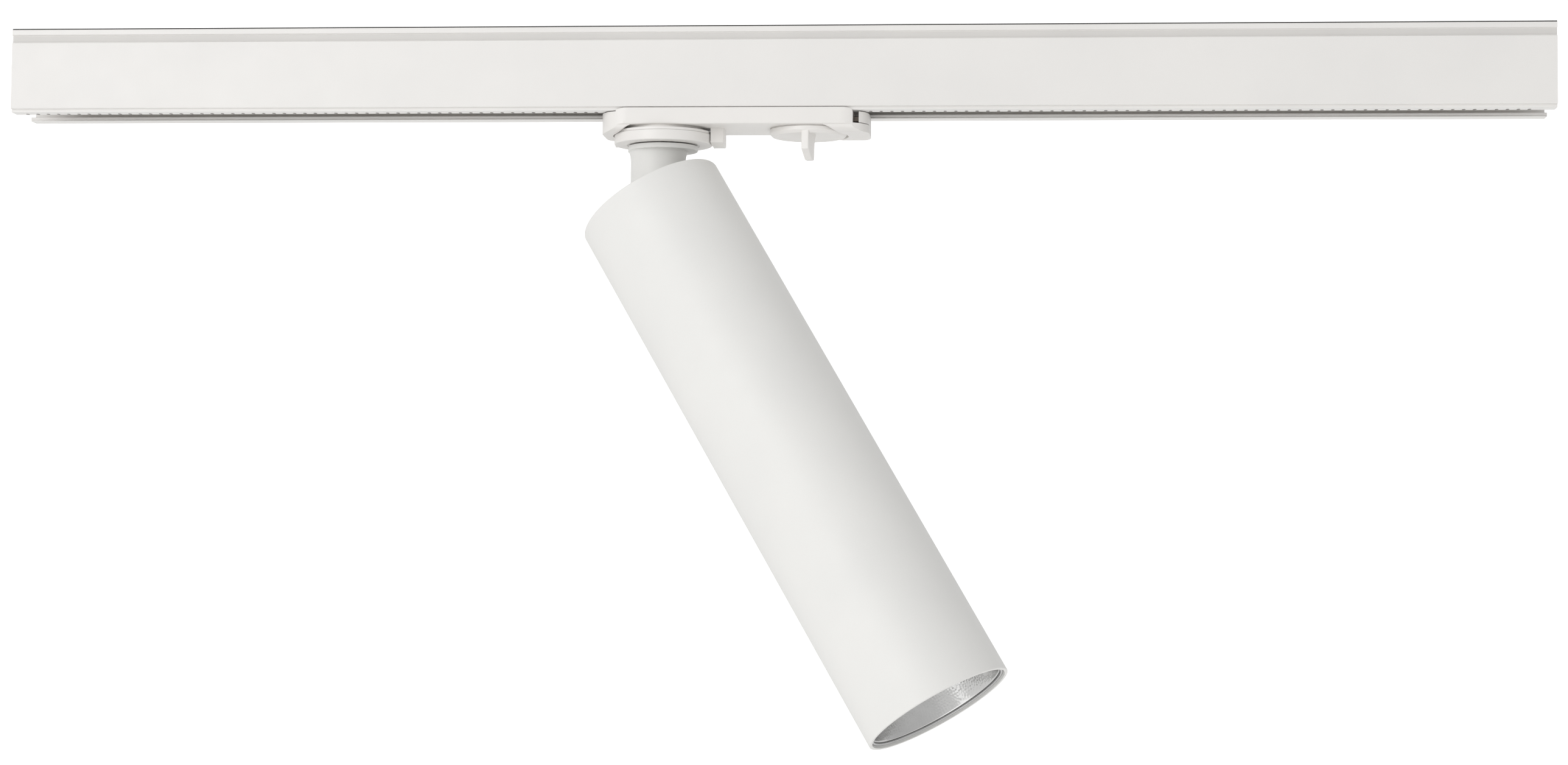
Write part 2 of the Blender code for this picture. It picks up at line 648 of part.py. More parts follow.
FLANGE_R, FLANGE_TOP, FLANGE_BOT = 14.5, RING_BOT - GAP, -15.2
STEM_R = 11.4
STEM_TOP = -14.4               # inside the flange
FILLET_Z, FILLET_OUT, FILLET_DROP = -15.4, 1.1, 4.8    # hollow flare under the flange
SHOULDER_Z = PIVOT_Z + 9.7     # full round stem ends here
TONGUE_HALF, TONGUE_R, TONGUE_TOP = 5.2, 9.0, 11.7     # top is above the pivot
EXIT_HALF = 3.4                # cable exit half width, and the bore's radius
EXIT_FLOOR = SHOULDER_Z - 5.2

NIPPLE_BORE, NIPPLE_TOP, NIPPLE_BOT = 3.4, 6.6, -12.75
LOCK_NUT_R, LOCK_NUT_Z = 6.8, (1.25, 4.65)
SPRING_WASHER = [(5.2, 0.9), (6.7, 0.5), (6.7, -0.2), (5.2, 0.2)]    # (radius, z)
CABLE_R, CABLE_TOP, CABLE_END_X, CABLE_BEND = 2.2, 12.0, 8.4, 3.2
CABLE_EXIT_Z = SHOULDER_Z - 2.5


def build_swivel_ring():
    ring = turned("swivel_ring", RING_PROFILE, closed=True)
    # index notch in the underside, at the flange's edge
    notch = box("index_notch", *NOTCH)
    notch.data.transform(rotation(NOTCH_TURN, "Z"))
    cut(ring, notch)
    # stop rib on the -X side
    outline = [(RIB_R0, -RIB_HALF), (RIB_R1, -RIB_HALF), (RIB_R1, RIB_HALF), (RIB_R0, RIB_HALF)]
    rib = prism("stop_rib", [outline], *RIB_Z)
    rib.data.transform(rotation(180, "Z"))
    join(ring, rib)
    finish(smooth(ring), swivel_axis, WHITE_PLASTIC)


def build_thrust_washer():
    profile = [(THRUST_R0, THRUST_Z1), (THRUST_R1, THRUST_Z1), (THRUST_R1, THRUST_Z0),
               (THRUST_R0, THRUST_Z0)]
    washer = turned("thrust_washer", profile, closed=True, steps=32)
    finish(washer, swivel_axis, BLACK_PLASTIC)


def stem_shaft():
    flare_r = STEM_R + FILLET_OUT
    profile = [(0, STEM_TOP), (flare_r, STEM_TOP), (flare_r, FILLET_Z)]
    for degrees in range(10, 91, 20):
        angle = math.radians(degrees)
        profile.append((STEM_R + FILLET_OUT * (1 - math.sin(angle)),
                        FILLET_Z - FILLET_DROP * (1 - math.cos(angle))))
    profile += [(STEM_R, SHOULDER_Z + 0.5), (STEM_R - 0.5, SHOULDER_Z), (0, SHOULDER_Z)]
    shaft = turned("shaft", profile)
    shaft.data.transform(shift(x=STEM_X))
    return shaft


def build_stem():
    """Flange on the swivel axis, round stem set back from it, tongue at the foot."""
    stem = turned("stem", [(0, FLANGE_TOP), (FLANGE_R - 0.2, FLANGE_TOP),
                           (FLANGE_R, FLANGE_TOP - 0.2), (FLANGE_R, FLANGE_BOT + 0.3),
                           (FLANGE_R - 0.3, FLANGE_BOT), (0, FLANGE_BOT)])
    join(stem, stem_shaft())
    outline = [(TONGUE_R, TONGUE_TOP), (-TONGUE_R, TONGUE_TOP)]
    outline += arc(0, 0, TONGUE_R, 180, 360, 14)
    tongue = prism_y("tongue", outline, -TONGUE_HALF, TONGUE_HALF, bevel_low=0.5, bevel_high=0.5)
    tongue.data.transform(shift(x=STEM_X, z=PIVOT_Z))
    join(stem, tongue)
    cut(stem, rod("axle_bore", AXLE_BORE_R, -20, 20, (STEM_X, PIVOT_Z), axis="Y"),
        rod("cable_bore", EXIT_HALF, EXIT_FLOOR, 0),
        box("cable_exit", (0.0, 20.0), (-EXIT_HALF, EXIT_HALF), (EXIT_FLOOR, SHOULDER_Z + 0.3)))
    finish(smooth(stem), swivel_axis, WHITE_PAINT)


def build_swivel_fixings():
    """Hollow threaded nipple with its lock nut and spring washer."""
    nipple = turned("threaded_nipple", [(NIPPLE_BORE, NIPPLE_TOP), (NIPPLE_R - 0.4, NIPPLE_TOP),
                                        (NIPPLE_R, NIPPLE_TOP - 0.4), (NIPPLE_R, NIPPLE_BOT),
                                        (NIPPLE_BORE, NIPPLE_BOT)], closed=True, steps=28)
    finish(nipple, swivel_axis, BRASS)
    nut = prism("swivel_lock_nut", [circle(LOCK_NUT_R, 6)], *LOCK_NUT_Z,
                bevel_low=0.3, bevel_high=0.3, segments=1)
    cut(nut, rod("nut_bore", NIPPLE_R + 0.25, 0, 8, steps=40))
    finish(nut, swivel_axis, STEEL)
    washer = turned("spring_washer", SPRING_WASHER, closed=True, steps=28)
    finish(washer, swivel_axis, STEEL)


def build_supply_cable():
    """Down the swivel axis, then bent out to +X under the shoulder."""
    points = [(0, 0, CABLE_TOP), (0, 0, CABLE_EXIT_Z + CABLE_BEND)]
    for degrees in range(18, 91, 18):
        angle = math.radians(degrees)
        points.append((CABLE_BEND * (1 - math.cos(angle)), 0,
                       CABLE_EXIT_Z + CABLE_BEND - CABLE_BEND * math.sin(angle)))
    points.append((CABLE_END_X, 0, CABLE_EXIT_Z))
    finish(wire("supply_cable", points, CABLE_R, 3), swivel_axis, RUBBER)


# ============================================================================
# Lamp head: tube, cap and hinge
# ============================================================================
CAP_TOP, CAP_BOT = RIM_Z - 0.3, RIM_Z - 1.7
CAP_SLOT_END, CAP_SLOT_R = 22.6, 12.0
POST_Y = 20.5                  # cap screws and their posts
CAP_HOLE_R, POST_R, POST_BORE_R = 1.8, 3.4, 1.75
# cap screw: (radius, z)
CAP_SCREW_PROFILE = [(0, CAP_TOP + 0.9), (2.1, CAP_TOP + 0.9), (2.7, CAP_TOP + 0.3),
                     (2.7, CAP_TOP + 0.05), (1.45, CAP_TOP + 0.05), (1.45, -3.5), (0, -3.5)]

BRIDGE_TOP, BRIDGE_BOT = -14.5, -17.0    # the bracket's disc
CHEEK_IN, CHEEK_OUT = 6.5, 9.0
CHEEK_OUTLINE = [(-8.0, BRIDGE_BOT + 1), (8.0, BRIDGE_BOT + 1), (8.0, 0.6), (6.6, 3.0),
                 (5.6, 3.9), (-5.6, 3.9), (-6.6, 3.0), (-8.0, 0.6)]    # (x, z)
HINGE_HOLE_X, HINGE_HOLE_R = 17.0, 4.5

# tilt bolt, head first: (radius, position on its axis)
BOLT_PROFILE = [(0, 12.4), (2.6, 12.4), (3.6, 11.9), (3.9, 11.0), (3.9, 9.3), (AXLE_R, 9.3),
                (AXLE_R, -13.6), (AXLE_R - 0.4, -14.0), (0, -14.0)]
BOLT_SOCKET_R, TILT_NUT_R, TILT_NUT_SPAN = 1.6, 3.95, (-12.7, -9.3)
# friction washer: (radius, distance from the middle plane)
FRICTION_PROFILE = [(AXLE_R + 0.3, 6.25), (7.0, 6.25), (7.0, 5.45), (AXLE_R + 0.3, 5.45)]


def build_tube():
    tube = turned("lamp_tube", [(TUBE_IN, RIM_Z), (TUBE_R - 0.35, RIM_Z), (TUBE_R, RIM_Z - 0.35),
                                (TUBE_R, MOUTH_Z + 0.3), (TUBE_R - 0.3, MOUTH_Z),
                                (TUBE_IN + 0.2, MOUTH_Z), (TUBE_IN, MOUTH_Z + 0.2)],
                  closed=True, steps=60)
    finish(smooth(tube), tilt_axis, WHITE_PAINT)


def build_cap():
    slot_x = CAP_SLOT_END - CAP_SLOT_R
    slot = arc(slot_x, 0, CAP_SLOT_R, -90, 90, 12) + arc(-slot_x, 0, CAP_SLOT_R, 90, 270, 12)
    slot.reverse()
    cap = prism("top_cap", [circle(TUBE_IN - GAP, 48), slot], CAP_BOT, CAP_TOP)
    for side in (-1, 1):
        cut(cap, rod("cap_hole", CAP_HOLE_R, -20, 20, (0, side * POST_Y), 20))
    finish(smooth(cap), tilt_axis, WHITE_PAINT)
    for side, label in SIDES:
        screw = turned("cap_screw_" + label, CAP_SCREW_PROFILE, steps=24)
        screw.data.transform(shift(y=side * POST_Y))
        cut(screw, prism("socket", [circle(1.0, 6, y=side * POST_Y)], CAP_TOP + 0.2, CAP_TOP + 2))
        finish(smooth(screw), tilt_axis, STEEL)


def build_bracket():
    """Disc across the tube with two hinge cheeks and two posts for the cap."""
    bracket = prism("hinge_bracket", [circle(TUBE_IN - GAP, 48)], BRIDGE_BOT, BRIDGE_TOP)
    for side in (-1, 1):
        join(bracket, prism_y("cheek", CHEEK_OUTLINE, *span(side, CHEEK_IN, CHEEK_OUT)),
             rod("post", POST_R, BRIDGE_BOT + 1, CAP_BOT - 0.3, (0, side * POST_Y)))
    for side in (-1, 1):
        cut(bracket, rod("post_bore", POST_BORE_R, -3.9, 8, (0, side * POST_Y), 20))
    cut(bracket, rod("axle_bore", AXLE_BORE_R, -20, 20, axis="Y"))
    for x in (HINGE_HOLE_X, -HINGE_HOLE_X):
        cut(bracket, rod("hole", HINGE_HOLE_R, -20, -10, (x, 0)))
    finish(smooth(bracket), tilt_axis, ALUMINIUM)


def build_tilt_axle():
    """Bolt with its head to -Y, nut at +Y, and a friction washer by each cheek."""
    bolt = turned("tilt_bolt", BOLT_PROFILE, steps=20)
    cut(bolt, prism("socket", [circle(BOLT_SOCKET_R, 6)], 10.6, 14))
    bolt.data.transform(rotation(90, "X"))
    finish(smooth(bolt), tilt_axis, STEEL)
    nut = prism("tilt_lock_nut", [circle(TILT_NUT_R, 6)], *TILT_NUT_SPAN,
                bevel_low=0.3, segments=1)
    cut(nut, rod("nut_bore", AXLE_R + 0.25, -20, 0, steps=32))
    nut.data.transform(rotation(90, "X"))
    finish(nut, tilt_axis, STEEL)
    for side, label in SIDES:
        washer = turned("friction_washer_" + label, FRICTION_PROFILE, closed=True, steps=28)
        washer.data.transform(rotation(-90 * side, "X"))
        finish(washer, tilt_axis, BLACK_PLASTIC)


# ============================================================================
# Lamp head: driver and heat sink
# ============================================================================
DRIVER_X, DRIVER_Y, DRIVER_Z = 11.5, 20.0, (-121.0, -23.0)    # half sizes, then ends
LEAD_ENTRY_Y = 12.0
CLIPS_Z, CLIP_HALF = (-40.0, -104.0), 3.0
CLIP_GAP, CLIP_R, CLIP_T = 0.3, 1.7, 1.2    # inner clearance, inner corner, thickness
FOOT_X0, FOOT_X1, FOOT_HALF = 12.4, 29.3, 5
INPUT_LEAD = [(17.0, 0, -9.5), (17.0, 0, -18.0), (14.6, 4.0, -20.0), (8.0, 9.0, -20.3),
              (2.0, 11.6, -20.6), (0, LEAD_ENTRY_Y, -22.0), (0, LEAD_ENTRY_Y, -28.5)]
LED_LEAD = [(0, 0, -118.5), (0, 0, -183.6)]

SINK_TOP, SINK_BOT, SINK_BASE = -131.0, -180.0, 7.0
SINK_R = TUBE_IN - 0.4
FINS, FIN_ROOT_R, FIN_HALF = 20, 9.0, 0.7
SINK_BORE_R, SINK_BASE_BORE_R = 5.0, 4.0
# centres of the two screws that hold the LED holder to the sink
HOLDER_SCREWS = [(15.5 * math.cos(angle), 15.5 * math.sin(angle)) for angle in (0.0, math.pi)]


def build_driver():
    driver = box("led_driver", (-DRIVER_X, DRIVER_X), (-DRIVER_Y, DRIVER_Y), DRIVER_Z,
                 bevel=1.6, segments=3)
    cut(driver, rod("lead_entry", 2.9, -30.0, -20.0, (0.0, LEAD_ENTRY_Y), 20),
        rod("lead_exit", 2.3, -125.0, -116.0, steps=20))
    finish(smooth(driver), tilt_axis, WHITE_PLASTIC)


def clip_outline(offset, radius):
    x, y = DRIVER_X + offset, DRIVER_Y + offset
    return rounded_rect(-x, x, -y, y, radius, 4)


def build_clip(name, z):
    """Band round the driver with a foot out to the tube on +X and -X."""
    z0, z1 = z - CLIP_HALF, z + CLIP_HALF
    inner = clip_outline(CLIP_GAP, CLIP_R)
    inner.reverse()
    band = prism(name, [clip_outline(CLIP_GAP + CLIP_T, CLIP_R + CLIP_T), inner], z0, z1)
    for side in (1, -1):
        foot = box("foot", span(side, FOOT_X0, FOOT_X1), (-FOOT_HALF, FOOT_HALF), (z0, z1))
        boolean(foot, rod("trim", TUBE_IN - GAP, z0, z1, steps=72), "INTERSECT")
        join(band, foot)
    finish(smooth(band), tilt_axis, STEEL)


def fin_outline():
    """A hub with flat radial fins, drawn as one closed outline."""
    points = []
    root_angle = math.asin(FIN_HALF / FIN_ROOT_R)
    tip_angle = math.asin(FIN_HALF / SINK_R)
    for i in range(FINS):
        middle = math.tau * i / FINS
        valley = 0.5 * (middle + math.tau * (i + 1) / FINS)
        for radius, angle in ((FIN_ROOT_R, middle - root_angle), (SINK_R, middle - tip_angle),
                              (SINK_R, middle + tip_angle), (FIN_ROOT_R, middle + root_angle),
                              (FIN_ROOT_R, valley)):
            points.append((radius * math.cos(angle), radius * math.sin(angle)))
    return points


def build_heat_sink():
    """Thick base, radial fins, open centre for the lead."""
    bore = circle(SINK_BORE_R, 24)
    bore.reverse()
    base_top = SINK_BOT + SINK_BASE
    sink = prism("heat_sink", [fin_outline(), bore], base_top - 1.0, SINK_TOP)
    join(sink, turned("sink_base", [(SINK_BASE_BORE_R, base_top), (SINK_R, base_top),
                                    (SINK_R, SINK_BOT), (SINK_BASE_BORE_R, SINK_BOT)],
                      closed=True))
    for centre in HOLDER_SCREWS:
        cut(sink, rod("screw_bore", 1.55, SINK_BOT - 1, SINK_BOT + 5.2, centre, 18))
    finish(smooth(sink), tilt_axis, ALUMINIUM)


# ============================================================================
# Lamp head: light source and optics
# ============================================================================
# profiles below: (radius, z from the sink's underside)
PAD_PROFILE = ((2.6, -0.3), (11.8, -0.3), (11.8, -0.8), (2.6, -0.8))
EMITTER_PROFILE = ((0, -2.2), (7.2, -2.2), (7.2, -4.2), (6.9, -4.6), (6.2, -4.9), (0, -4.9))
HOLDER_PROFILE = ((7.6, -3.2), (10.0, -3.2), (19.5, -3.2), (19.5, -5.9), (8.6, -5.9),
                  (7.6, -5.2))
HOLDER_SCREW_PROFILE = ((0, 4.8), (1.3, 4.8), (1.3, -6.2), (2.6, -6.2), (2.6, -7.1),
                        (1.9, -7.9), (0, -7.9))
BOARD_HALF, BOARD_R = 9.5, 1.0

REFL_Z0, REFL_Z1 = SINK_BOT - 6.3, MOUTH_Z + 2.2
REFL_R0, REFL_R1, REFL_T = 9.0, 28.2, 0.7
REFL_POWER = 0.62              # radius grows with this power of the depth
REFL_STEPS, REFL_SPACING = 8, 1.4    # a spacing power over 1 crowds points at the emitter
SNAP_IN, SNAP_OUT = 28.7, TUBE_IN - 0.3
SNAP_TOP, SNAP_BOT = REFL_Z1 - 0.3, REFL_Z1 - 1.1


def below_sink(profile):
    return [(r, SINK_BOT + z) for r, z in profile]


def build_led():
    pad = turned("thermal_pad", below_sink(PAD_PROFILE), closed=True, steps=28)
    finish(pad, tilt_axis, GREY_PLASTIC)
    outline = rounded_rect(-BOARD_HALF, BOARD_HALF, -BOARD_HALF, BOARD_HALF, BOARD_R, 3)
    board = prism("led_module", [outline], SINK_BOT - 2.6, SINK_BOT - 1.1)
    join(board, turned("emitter", below_sink(EMITTER_PROFILE), steps=40))
    cut(board, rod("lead_pocket", 2.3, SINK_BOT - 3.9, SINK_BOT + 1, steps=20))
    finish(smooth(board), tilt_axis, CERAMIC)


def build_led_holder():
    holder = turned("led_holder", below_sink(HOLDER_PROFILE), closed=True, steps=32)
    for centre in HOLDER_SCREWS:
        join(holder, rod("boss", 3.3, SINK_BOT - 4.0, SINK_BOT - 0.3, centre, 20))
    for centre in HOLDER_SCREWS:
        cut(holder, rod("hole", 1.7, SINK_BOT - 9, SINK_BOT + 1, centre, 18))
    finish(smooth(holder), tilt_axis, WHITE_PLASTIC)
    for i, centre in enumerate(HOLDER_SCREWS):
        screw = turned("holder_screw_%d" % (i + 1), below_sink(HOLDER_SCREW_PROFILE), steps=20)
        screw.data.transform(shift(*centre))
        finish(smooth(screw), tilt_axis, STEEL)


def bowl(t):
    """Radius and height down the bowl, for t from 0 (emitter) to 1 (mouth)."""
    return (REFL_R0 + (REFL_R1 - REFL_R0) * t ** REFL_POWER, REFL_Z0 + (REFL_Z1 - REFL_Z0) * t)


def build_reflector():
    """A deep bowl from the emitter to the mouth, with a flange out to the tube."""
    inner = [bowl((i / REFL_STEPS) ** REFL_SPACING) for i in range(REFL_STEPS + 1)]
    outer = [(REFL_R0 + REFL_T, REFL_Z0)]
    for i in range(1, REFL_STEPS):
        (r0, z0), (r, z), (r1, z1) = inner[i - 1:i + 2]
        normal = Vector((-(z1 - z0), r1 - r0)).normalized()
        outer.append((r + normal.x * REFL_T, z + normal.y * REFL_T))
    flange_r, flange_top = TUBE_IN - 0.35, REFL_Z1 + 0.8
    outer += [(28.6, flange_top), (flange_r, flange_top), (flange_r, REFL_Z1)]
    reflector = turned("reflector", outer + inner[::-1], closed=True)
    finish(smooth(reflector, 50), tilt_axis, MIRROR)


def build_retaining_ring():
    """Ring under the reflector's flange, with a gap on the +X side."""
    ring = turned("retaining_ring", [(SNAP_IN, SNAP_TOP), (SNAP_OUT, SNAP_TOP),
                                     (SNAP_OUT, SNAP_BOT), (SNAP_IN, SNAP_BOT)], closed=True)
    cut(ring, box("snap_gap", (20, 40), (-1.5, 1.5), (MOUTH_Z - 2, MOUTH_Z + 6)))
    finish(smooth(ring), tilt_axis, STEEL)


# ---- assembly --------------------------------------------------------------
build_track()
build_liners()
build_conductors()

build_base()
build_core()
for contact in CONTACTS:
    build_contact(*contact)
build_earth_contact()
build_terminal_block()
build_latch()
build_lever()
build_cam()

build_swivel_ring()
build_thrust_washer()
build_stem()
build_swivel_fixings()
build_supply_cable()

build_tube()
build_cap()
build_bracket()
build_tilt_axle()
build_driver()
for number, clip_z in enumerate(CLIPS_Z, 1):
    build_clip("driver_clip_%d" % number, clip_z)
finish(wire("driver_input_lead", INPUT_LEAD, 1.9, 3), tilt_axis, RUBBER)
build_heat_sink()
finish(wire("led_lead", LED_LEAD, 1.7, 3), tilt_axis, RUBBER)
build_led()
build_led_holder()
build_reflector()
build_retaining_ring()

bpy.context.view_layer.update()
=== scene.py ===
"""Track spotlight: outer pieces and looks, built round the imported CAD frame.

The track runs along X, with the origin on its top at the swivel axis. -Y faces the camera
("near") and +Z is up. The adapter clips under the track with its locking lever to the right
(+X); the stem hangs below and carries the tilted tube, whose mouth is at its lower end.
"""

import math
from contextlib import contextmanager

import bmesh
import bpy
import numpy as np
from mathutils import Matrix, Vector


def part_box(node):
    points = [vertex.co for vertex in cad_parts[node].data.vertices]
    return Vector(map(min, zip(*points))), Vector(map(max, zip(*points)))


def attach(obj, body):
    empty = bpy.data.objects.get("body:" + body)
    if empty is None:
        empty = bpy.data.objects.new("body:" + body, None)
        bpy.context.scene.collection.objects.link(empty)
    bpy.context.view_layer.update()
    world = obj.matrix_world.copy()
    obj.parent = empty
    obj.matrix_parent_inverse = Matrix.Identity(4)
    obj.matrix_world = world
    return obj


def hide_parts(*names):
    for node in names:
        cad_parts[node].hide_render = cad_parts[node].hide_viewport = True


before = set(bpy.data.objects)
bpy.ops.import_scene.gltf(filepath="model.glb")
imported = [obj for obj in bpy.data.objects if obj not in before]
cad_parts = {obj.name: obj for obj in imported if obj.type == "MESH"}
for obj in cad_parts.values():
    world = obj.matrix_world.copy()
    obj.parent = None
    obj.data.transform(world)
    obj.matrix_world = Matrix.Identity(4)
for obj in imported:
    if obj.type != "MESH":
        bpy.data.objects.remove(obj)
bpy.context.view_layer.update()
scene = bpy.context.scene

# =============================================================================
# Dimensions shared between pieces, in millimetres and degrees
# =============================================================================
MM = 0.001

# Track and adapter heights are measured from the bottom of the track's section.
TRACK_X0, TRACK_X1 = (corner.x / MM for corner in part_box("track_extrusion"))
TRACK_HALF, TRACK_H = 18.0, 35.0
LIP_OUT, LIP_IN, LIP_BOT, LIP_TOP = 16.6, 9.4, -0.25, 1.5
REBATE = 0.6                # step along both top corners of the track
SIDE_GROOVE = 1.0           # depth of the groove along each side

PLATE_X0, PLATE_X1, PLATE_HALF, PLATE_R = -24.7, 86.5, 18.0, 11.6
PLATE_TOP, PLATE_BOT, RIM_TOP = -0.6, -6.05, 0.85
POCKET_Y, POCKET_Z = (-9.3, 9.3), (-4.6, -1.5)      # pocket shared by base and latch
PAST_EDGES = (-25, 25)      # across the whole adapter
DIAL_X, DIAL_R, DIAL_TOP, DIAL_BOT = 60.8, 16.2, -6.4, -9.4
RING_R, RING_TOP = 20.5, -8.5

# Swivel and tilt; head heights are measured from the tilt pivot, along the tube.
STEM_OFFSET = 2.4
PAN, TILT, PIVOT_Z = -22.4, 32.66, -41.44
TUBE_R, TUBE_WALL, TUBE_L, RIM_Z = 31.3, 1.4, 246.2, 5.98
TUBE_IN = TUBE_R - TUBE_WALL
MOUTH_Z = RIM_Z - TUBE_L
HEAT_SINK_BOT = -180.0
REFLECTOR_Z0, REFLECTOR_Z1 = HEAT_SINK_BOT - 6.3, MOUTH_Z + 2.2

IN_TRACK = Matrix.Translation((0, 0, -TRACK_H * MM))
IN_SWIVEL = IN_TRACK @ Matrix.Rotation(math.radians(PAN), 4, "Z")
PLACES = {
    "track": IN_TRACK,
    "adapter": IN_TRACK,
    "latch": IN_TRACK,
    "lever": IN_TRACK @ Matrix.Translation((DIAL_X * MM, 0, 0)),
    "swivel": IN_SWIVEL,
    "head": (IN_SWIVEL @ Matrix.Translation((-STEM_OFFSET * MM, 0, PIVOT_Z * MM))
             @ Matrix.Rotation(-math.radians(TILT), 4, "Y")),
}


# =============================================================================
# Outlines: lists of (x, y) in mm
# =============================================================================
def arc(cx, cy, radius, start, end, steps):
    """Points on a circle between two angles in degrees."""
    angles = [math.radians(start + (end - start) * i / steps) for i in range(steps + 1)]
    return [(cx + radius * math.cos(angle), cy + radius * math.sin(angle)) for angle in angles]


def rounded_rect(x0, x1, y0, y1, radius, steps):
    points = []
    for cx, cy, start in ((x1 - radius, y0 + radius, -90), (x1 - radius, y1 - radius, 0),
                          (x0 + radius, y1 - radius, 90), (x0 + radius, y0 + radius, 180)):
        points += arc(cx, cy, radius, start, start + 90, steps)
    return points


def mirror(points):
    """Mirrors an outline in x = 0 and keeps its winding."""
    return [(-p[0], *p[1:]) for p in reversed(points)]


def both_sides(right):
    """The outline at negative x, then the one at positive x."""
    return mirror(right), right


def fillet(points, steps=4, closed=True):
    """Rounds the corners of a polyline. Each point is (x, y) or (x, y, radius)."""
    out = []
    count = len(points)
    for i, point in enumerate(points):
        radius = point[2] if len(point) > 2 else 0.0
        if radius <= 0 or (not closed and i in (0, count - 1)):
            out.append((point[0], point[1]))
            continue
        corner = Vector(point[:2])
        back = Vector(points[i - 1][:2]) - corner
        ahead = Vector(points[(i + 1) % count][:2]) - corner
        back_len, ahead_len = back.length, ahead.length
        back.normalize()
        ahead.normalize()
        angle = math.acos(max(-1.0, min(1.0, back.dot(ahead))))
        if angle > math.radians(177) or angle < math.radians(3):
            out.append((corner.x, corner.y))
            continue
        # the fillet never uses more than half of either neighbouring side
        reach = min(radius / math.tan(angle / 2), 0.49 * back_len, 0.49 * ahead_len)
        radius = reach * math.tan(angle / 2)
        centre = corner + (back + ahead).normalized() * (radius / math.sin(angle / 2))
        first = corner + back * reach - centre
        last = corner + ahead * reach - centre
        start = math.atan2(first.y, first.x)
        sweep = math.atan2(last.y, last.x) - start
        while sweep > math.pi:
            sweep -= math.tau
        while sweep < -math.pi:
            sweep += math.tau
        for k in range(steps + 1):
            turn = start + sweep * k / steps
            out.append((centre.x + radius * math.cos(turn), centre.y + radius * math.sin(turn)))
    return out


def eased(start, end, steps):
    """Points between start and end, on a curve that leaves and arrives level."""
    return [(start[0] + (end[0] - start[0]) * t,
             start[1] + (end[1] - start[1]) * (0.5 - 0.5 * math.cos(math.pi * t)))
            for t in [k / steps for k in range(1, steps)]]


# =============================================================================
# Mesh tools
# =============================================================================
@contextmanager
def edited(mesh):
    """Opens a mesh as a bmesh and writes it back."""
    work = bmesh.new()
    work.from_mesh(mesh)
    yield work
    work.to_mesh(mesh)
    work.free()


def new_object(name, data):
    obj = bpy.data.objects.new(name, data)
    scene.collection.objects.link(obj)
    return obj


def from_bmesh(name, work):
    mesh = bpy.data.meshes.new(name)
    work.to_mesh(mesh)
    work.free()
    return new_object(name, mesh)


def from_lists(name, verts, faces):
    mesh = bpy.data.meshes.new(name)
    mesh.from_pydata(verts, [], faces)
    mesh.validate()
    with edited(mesh) as work:
        bmesh.ops.recalc_face_normals(work, faces=work.faces)
    return new_object(name, mesh)


def evaluated_mesh(obj):
    bpy.context.view_layer.update()
    graph = bpy.context.evaluated_depsgraph_get()
    return bpy.data.meshes.new_from_object(obj.evaluated_get(graph))


def smooth(obj, sharp_angle):
    for face in obj.data.polygons:
        face.use_smooth = True
    obj.data.set_sharp_from_angle(angle=math.radians(sharp_angle))


def lathe(name, profile, closed=False, steps=128):
    """Solid turned about Z from (radius, height) points in mm."""
    loop = list(profile)
    if sum(p[0] * q[1] - q[0] * p[1] for p, q in zip(loop, loop[1:] + loop[:1])) > 0:
        loop.reverse()
    angles = [math.tau * k / steps for k in range(steps)]
    verts, rings = [], []
    for r, z in loop:
        if r < 1e-6:
            rings.append([len(verts)] * steps)
            verts.append((0.0, 0.0, z * MM))
        else:
            rings.append(list(range(len(verts), len(verts) + steps)))
            verts += [(r * MM * math.cos(angle), r * MM * math.sin(angle), z * MM)
                      for angle in angles]
    faces = []
    for ring, following in zip(rings, rings[1:] + (rings[:1] if closed else [])):
        for k in range(steps):
            j = (k + 1) % steps
            # repeated corners on the axis are dropped
            face = list(dict.fromkeys((ring[k], following[k], following[j], ring[j])))
            if len(face) > 2:
                faces.append(face)
    return from_lists(name, verts, faces)


def outline_solid(name, loops, half_depth):
    """Fills outlines, inner ones as holes, and extrudes them both ways along Z (metres)."""
    curve = bpy.data.curves.new(name, "CURVE")
    curve.dimensions = "2D"
    curve.fill_mode = "BOTH"
    curve.extrude = half_depth
    for loop in loops:
        spline = curve.splines.new("POLY")
        spline.points.add(len(loop) - 1)
        for point, (x, y) in zip(spline.points, loop):
            point.co = (x * MM, y * MM, 0.0, 1.0)
        spline.use_cyclic_u = True
    outline = new_object(name + "_outline", curve)
    mesh = evaluated_mesh(outline)
    bpy.data.objects.remove(outline, do_unlink=True)
    with edited(mesh) as work:
        bmesh.ops.remove_doubles(work, verts=work.verts, dist=1e-7)
        bmesh.ops.recalc_face_normals(work, faces=work.faces)
    mesh.name = name
    return new_object(name, mesh)


def prism(name, loops, z0, z1, low=0.0, high=0.0, segments=4):
    """Outlines made solid from z0 to z1; low and high round the edges of the two ends."""
    obj = outline_solid(name, loops, 0.5 * (z1 - z0) * MM)
    obj.data.transform(Matrix.Translation((0, 0, 0.5 * (z0 + z1) * MM)))
    for width, height in ((low, z0), (high, z1)):
        if width <= 0:
            continue
        level = height * MM
        with edited(obj.data) as work:
            def level_edges():
                return [e for e in work.edges
                        if all(abs(v.co.z - level) < 1e-7 for v in e.verts)]

            # merge the triangles of the end face, then round its rim
            inner = [e for e in level_edges() if len(e.link_faces) == 2
                     and all(abs(f.normal.z) > 0.9 for f in e.link_faces)]
            bmesh.ops.dissolve_limit(work, angle_limit=math.radians(0.5), verts=[], edges=inner)
            rim = [e for e in level_edges()
                   if sum(abs(f.normal.z) < 0.5 for f in e.link_faces) == 1]
            bmesh.ops.bevel(work, geom=rim, offset=width * MM, segments=segments, profile=0.5,
                            affect="EDGES", clamp_overlap=True)
    return obj


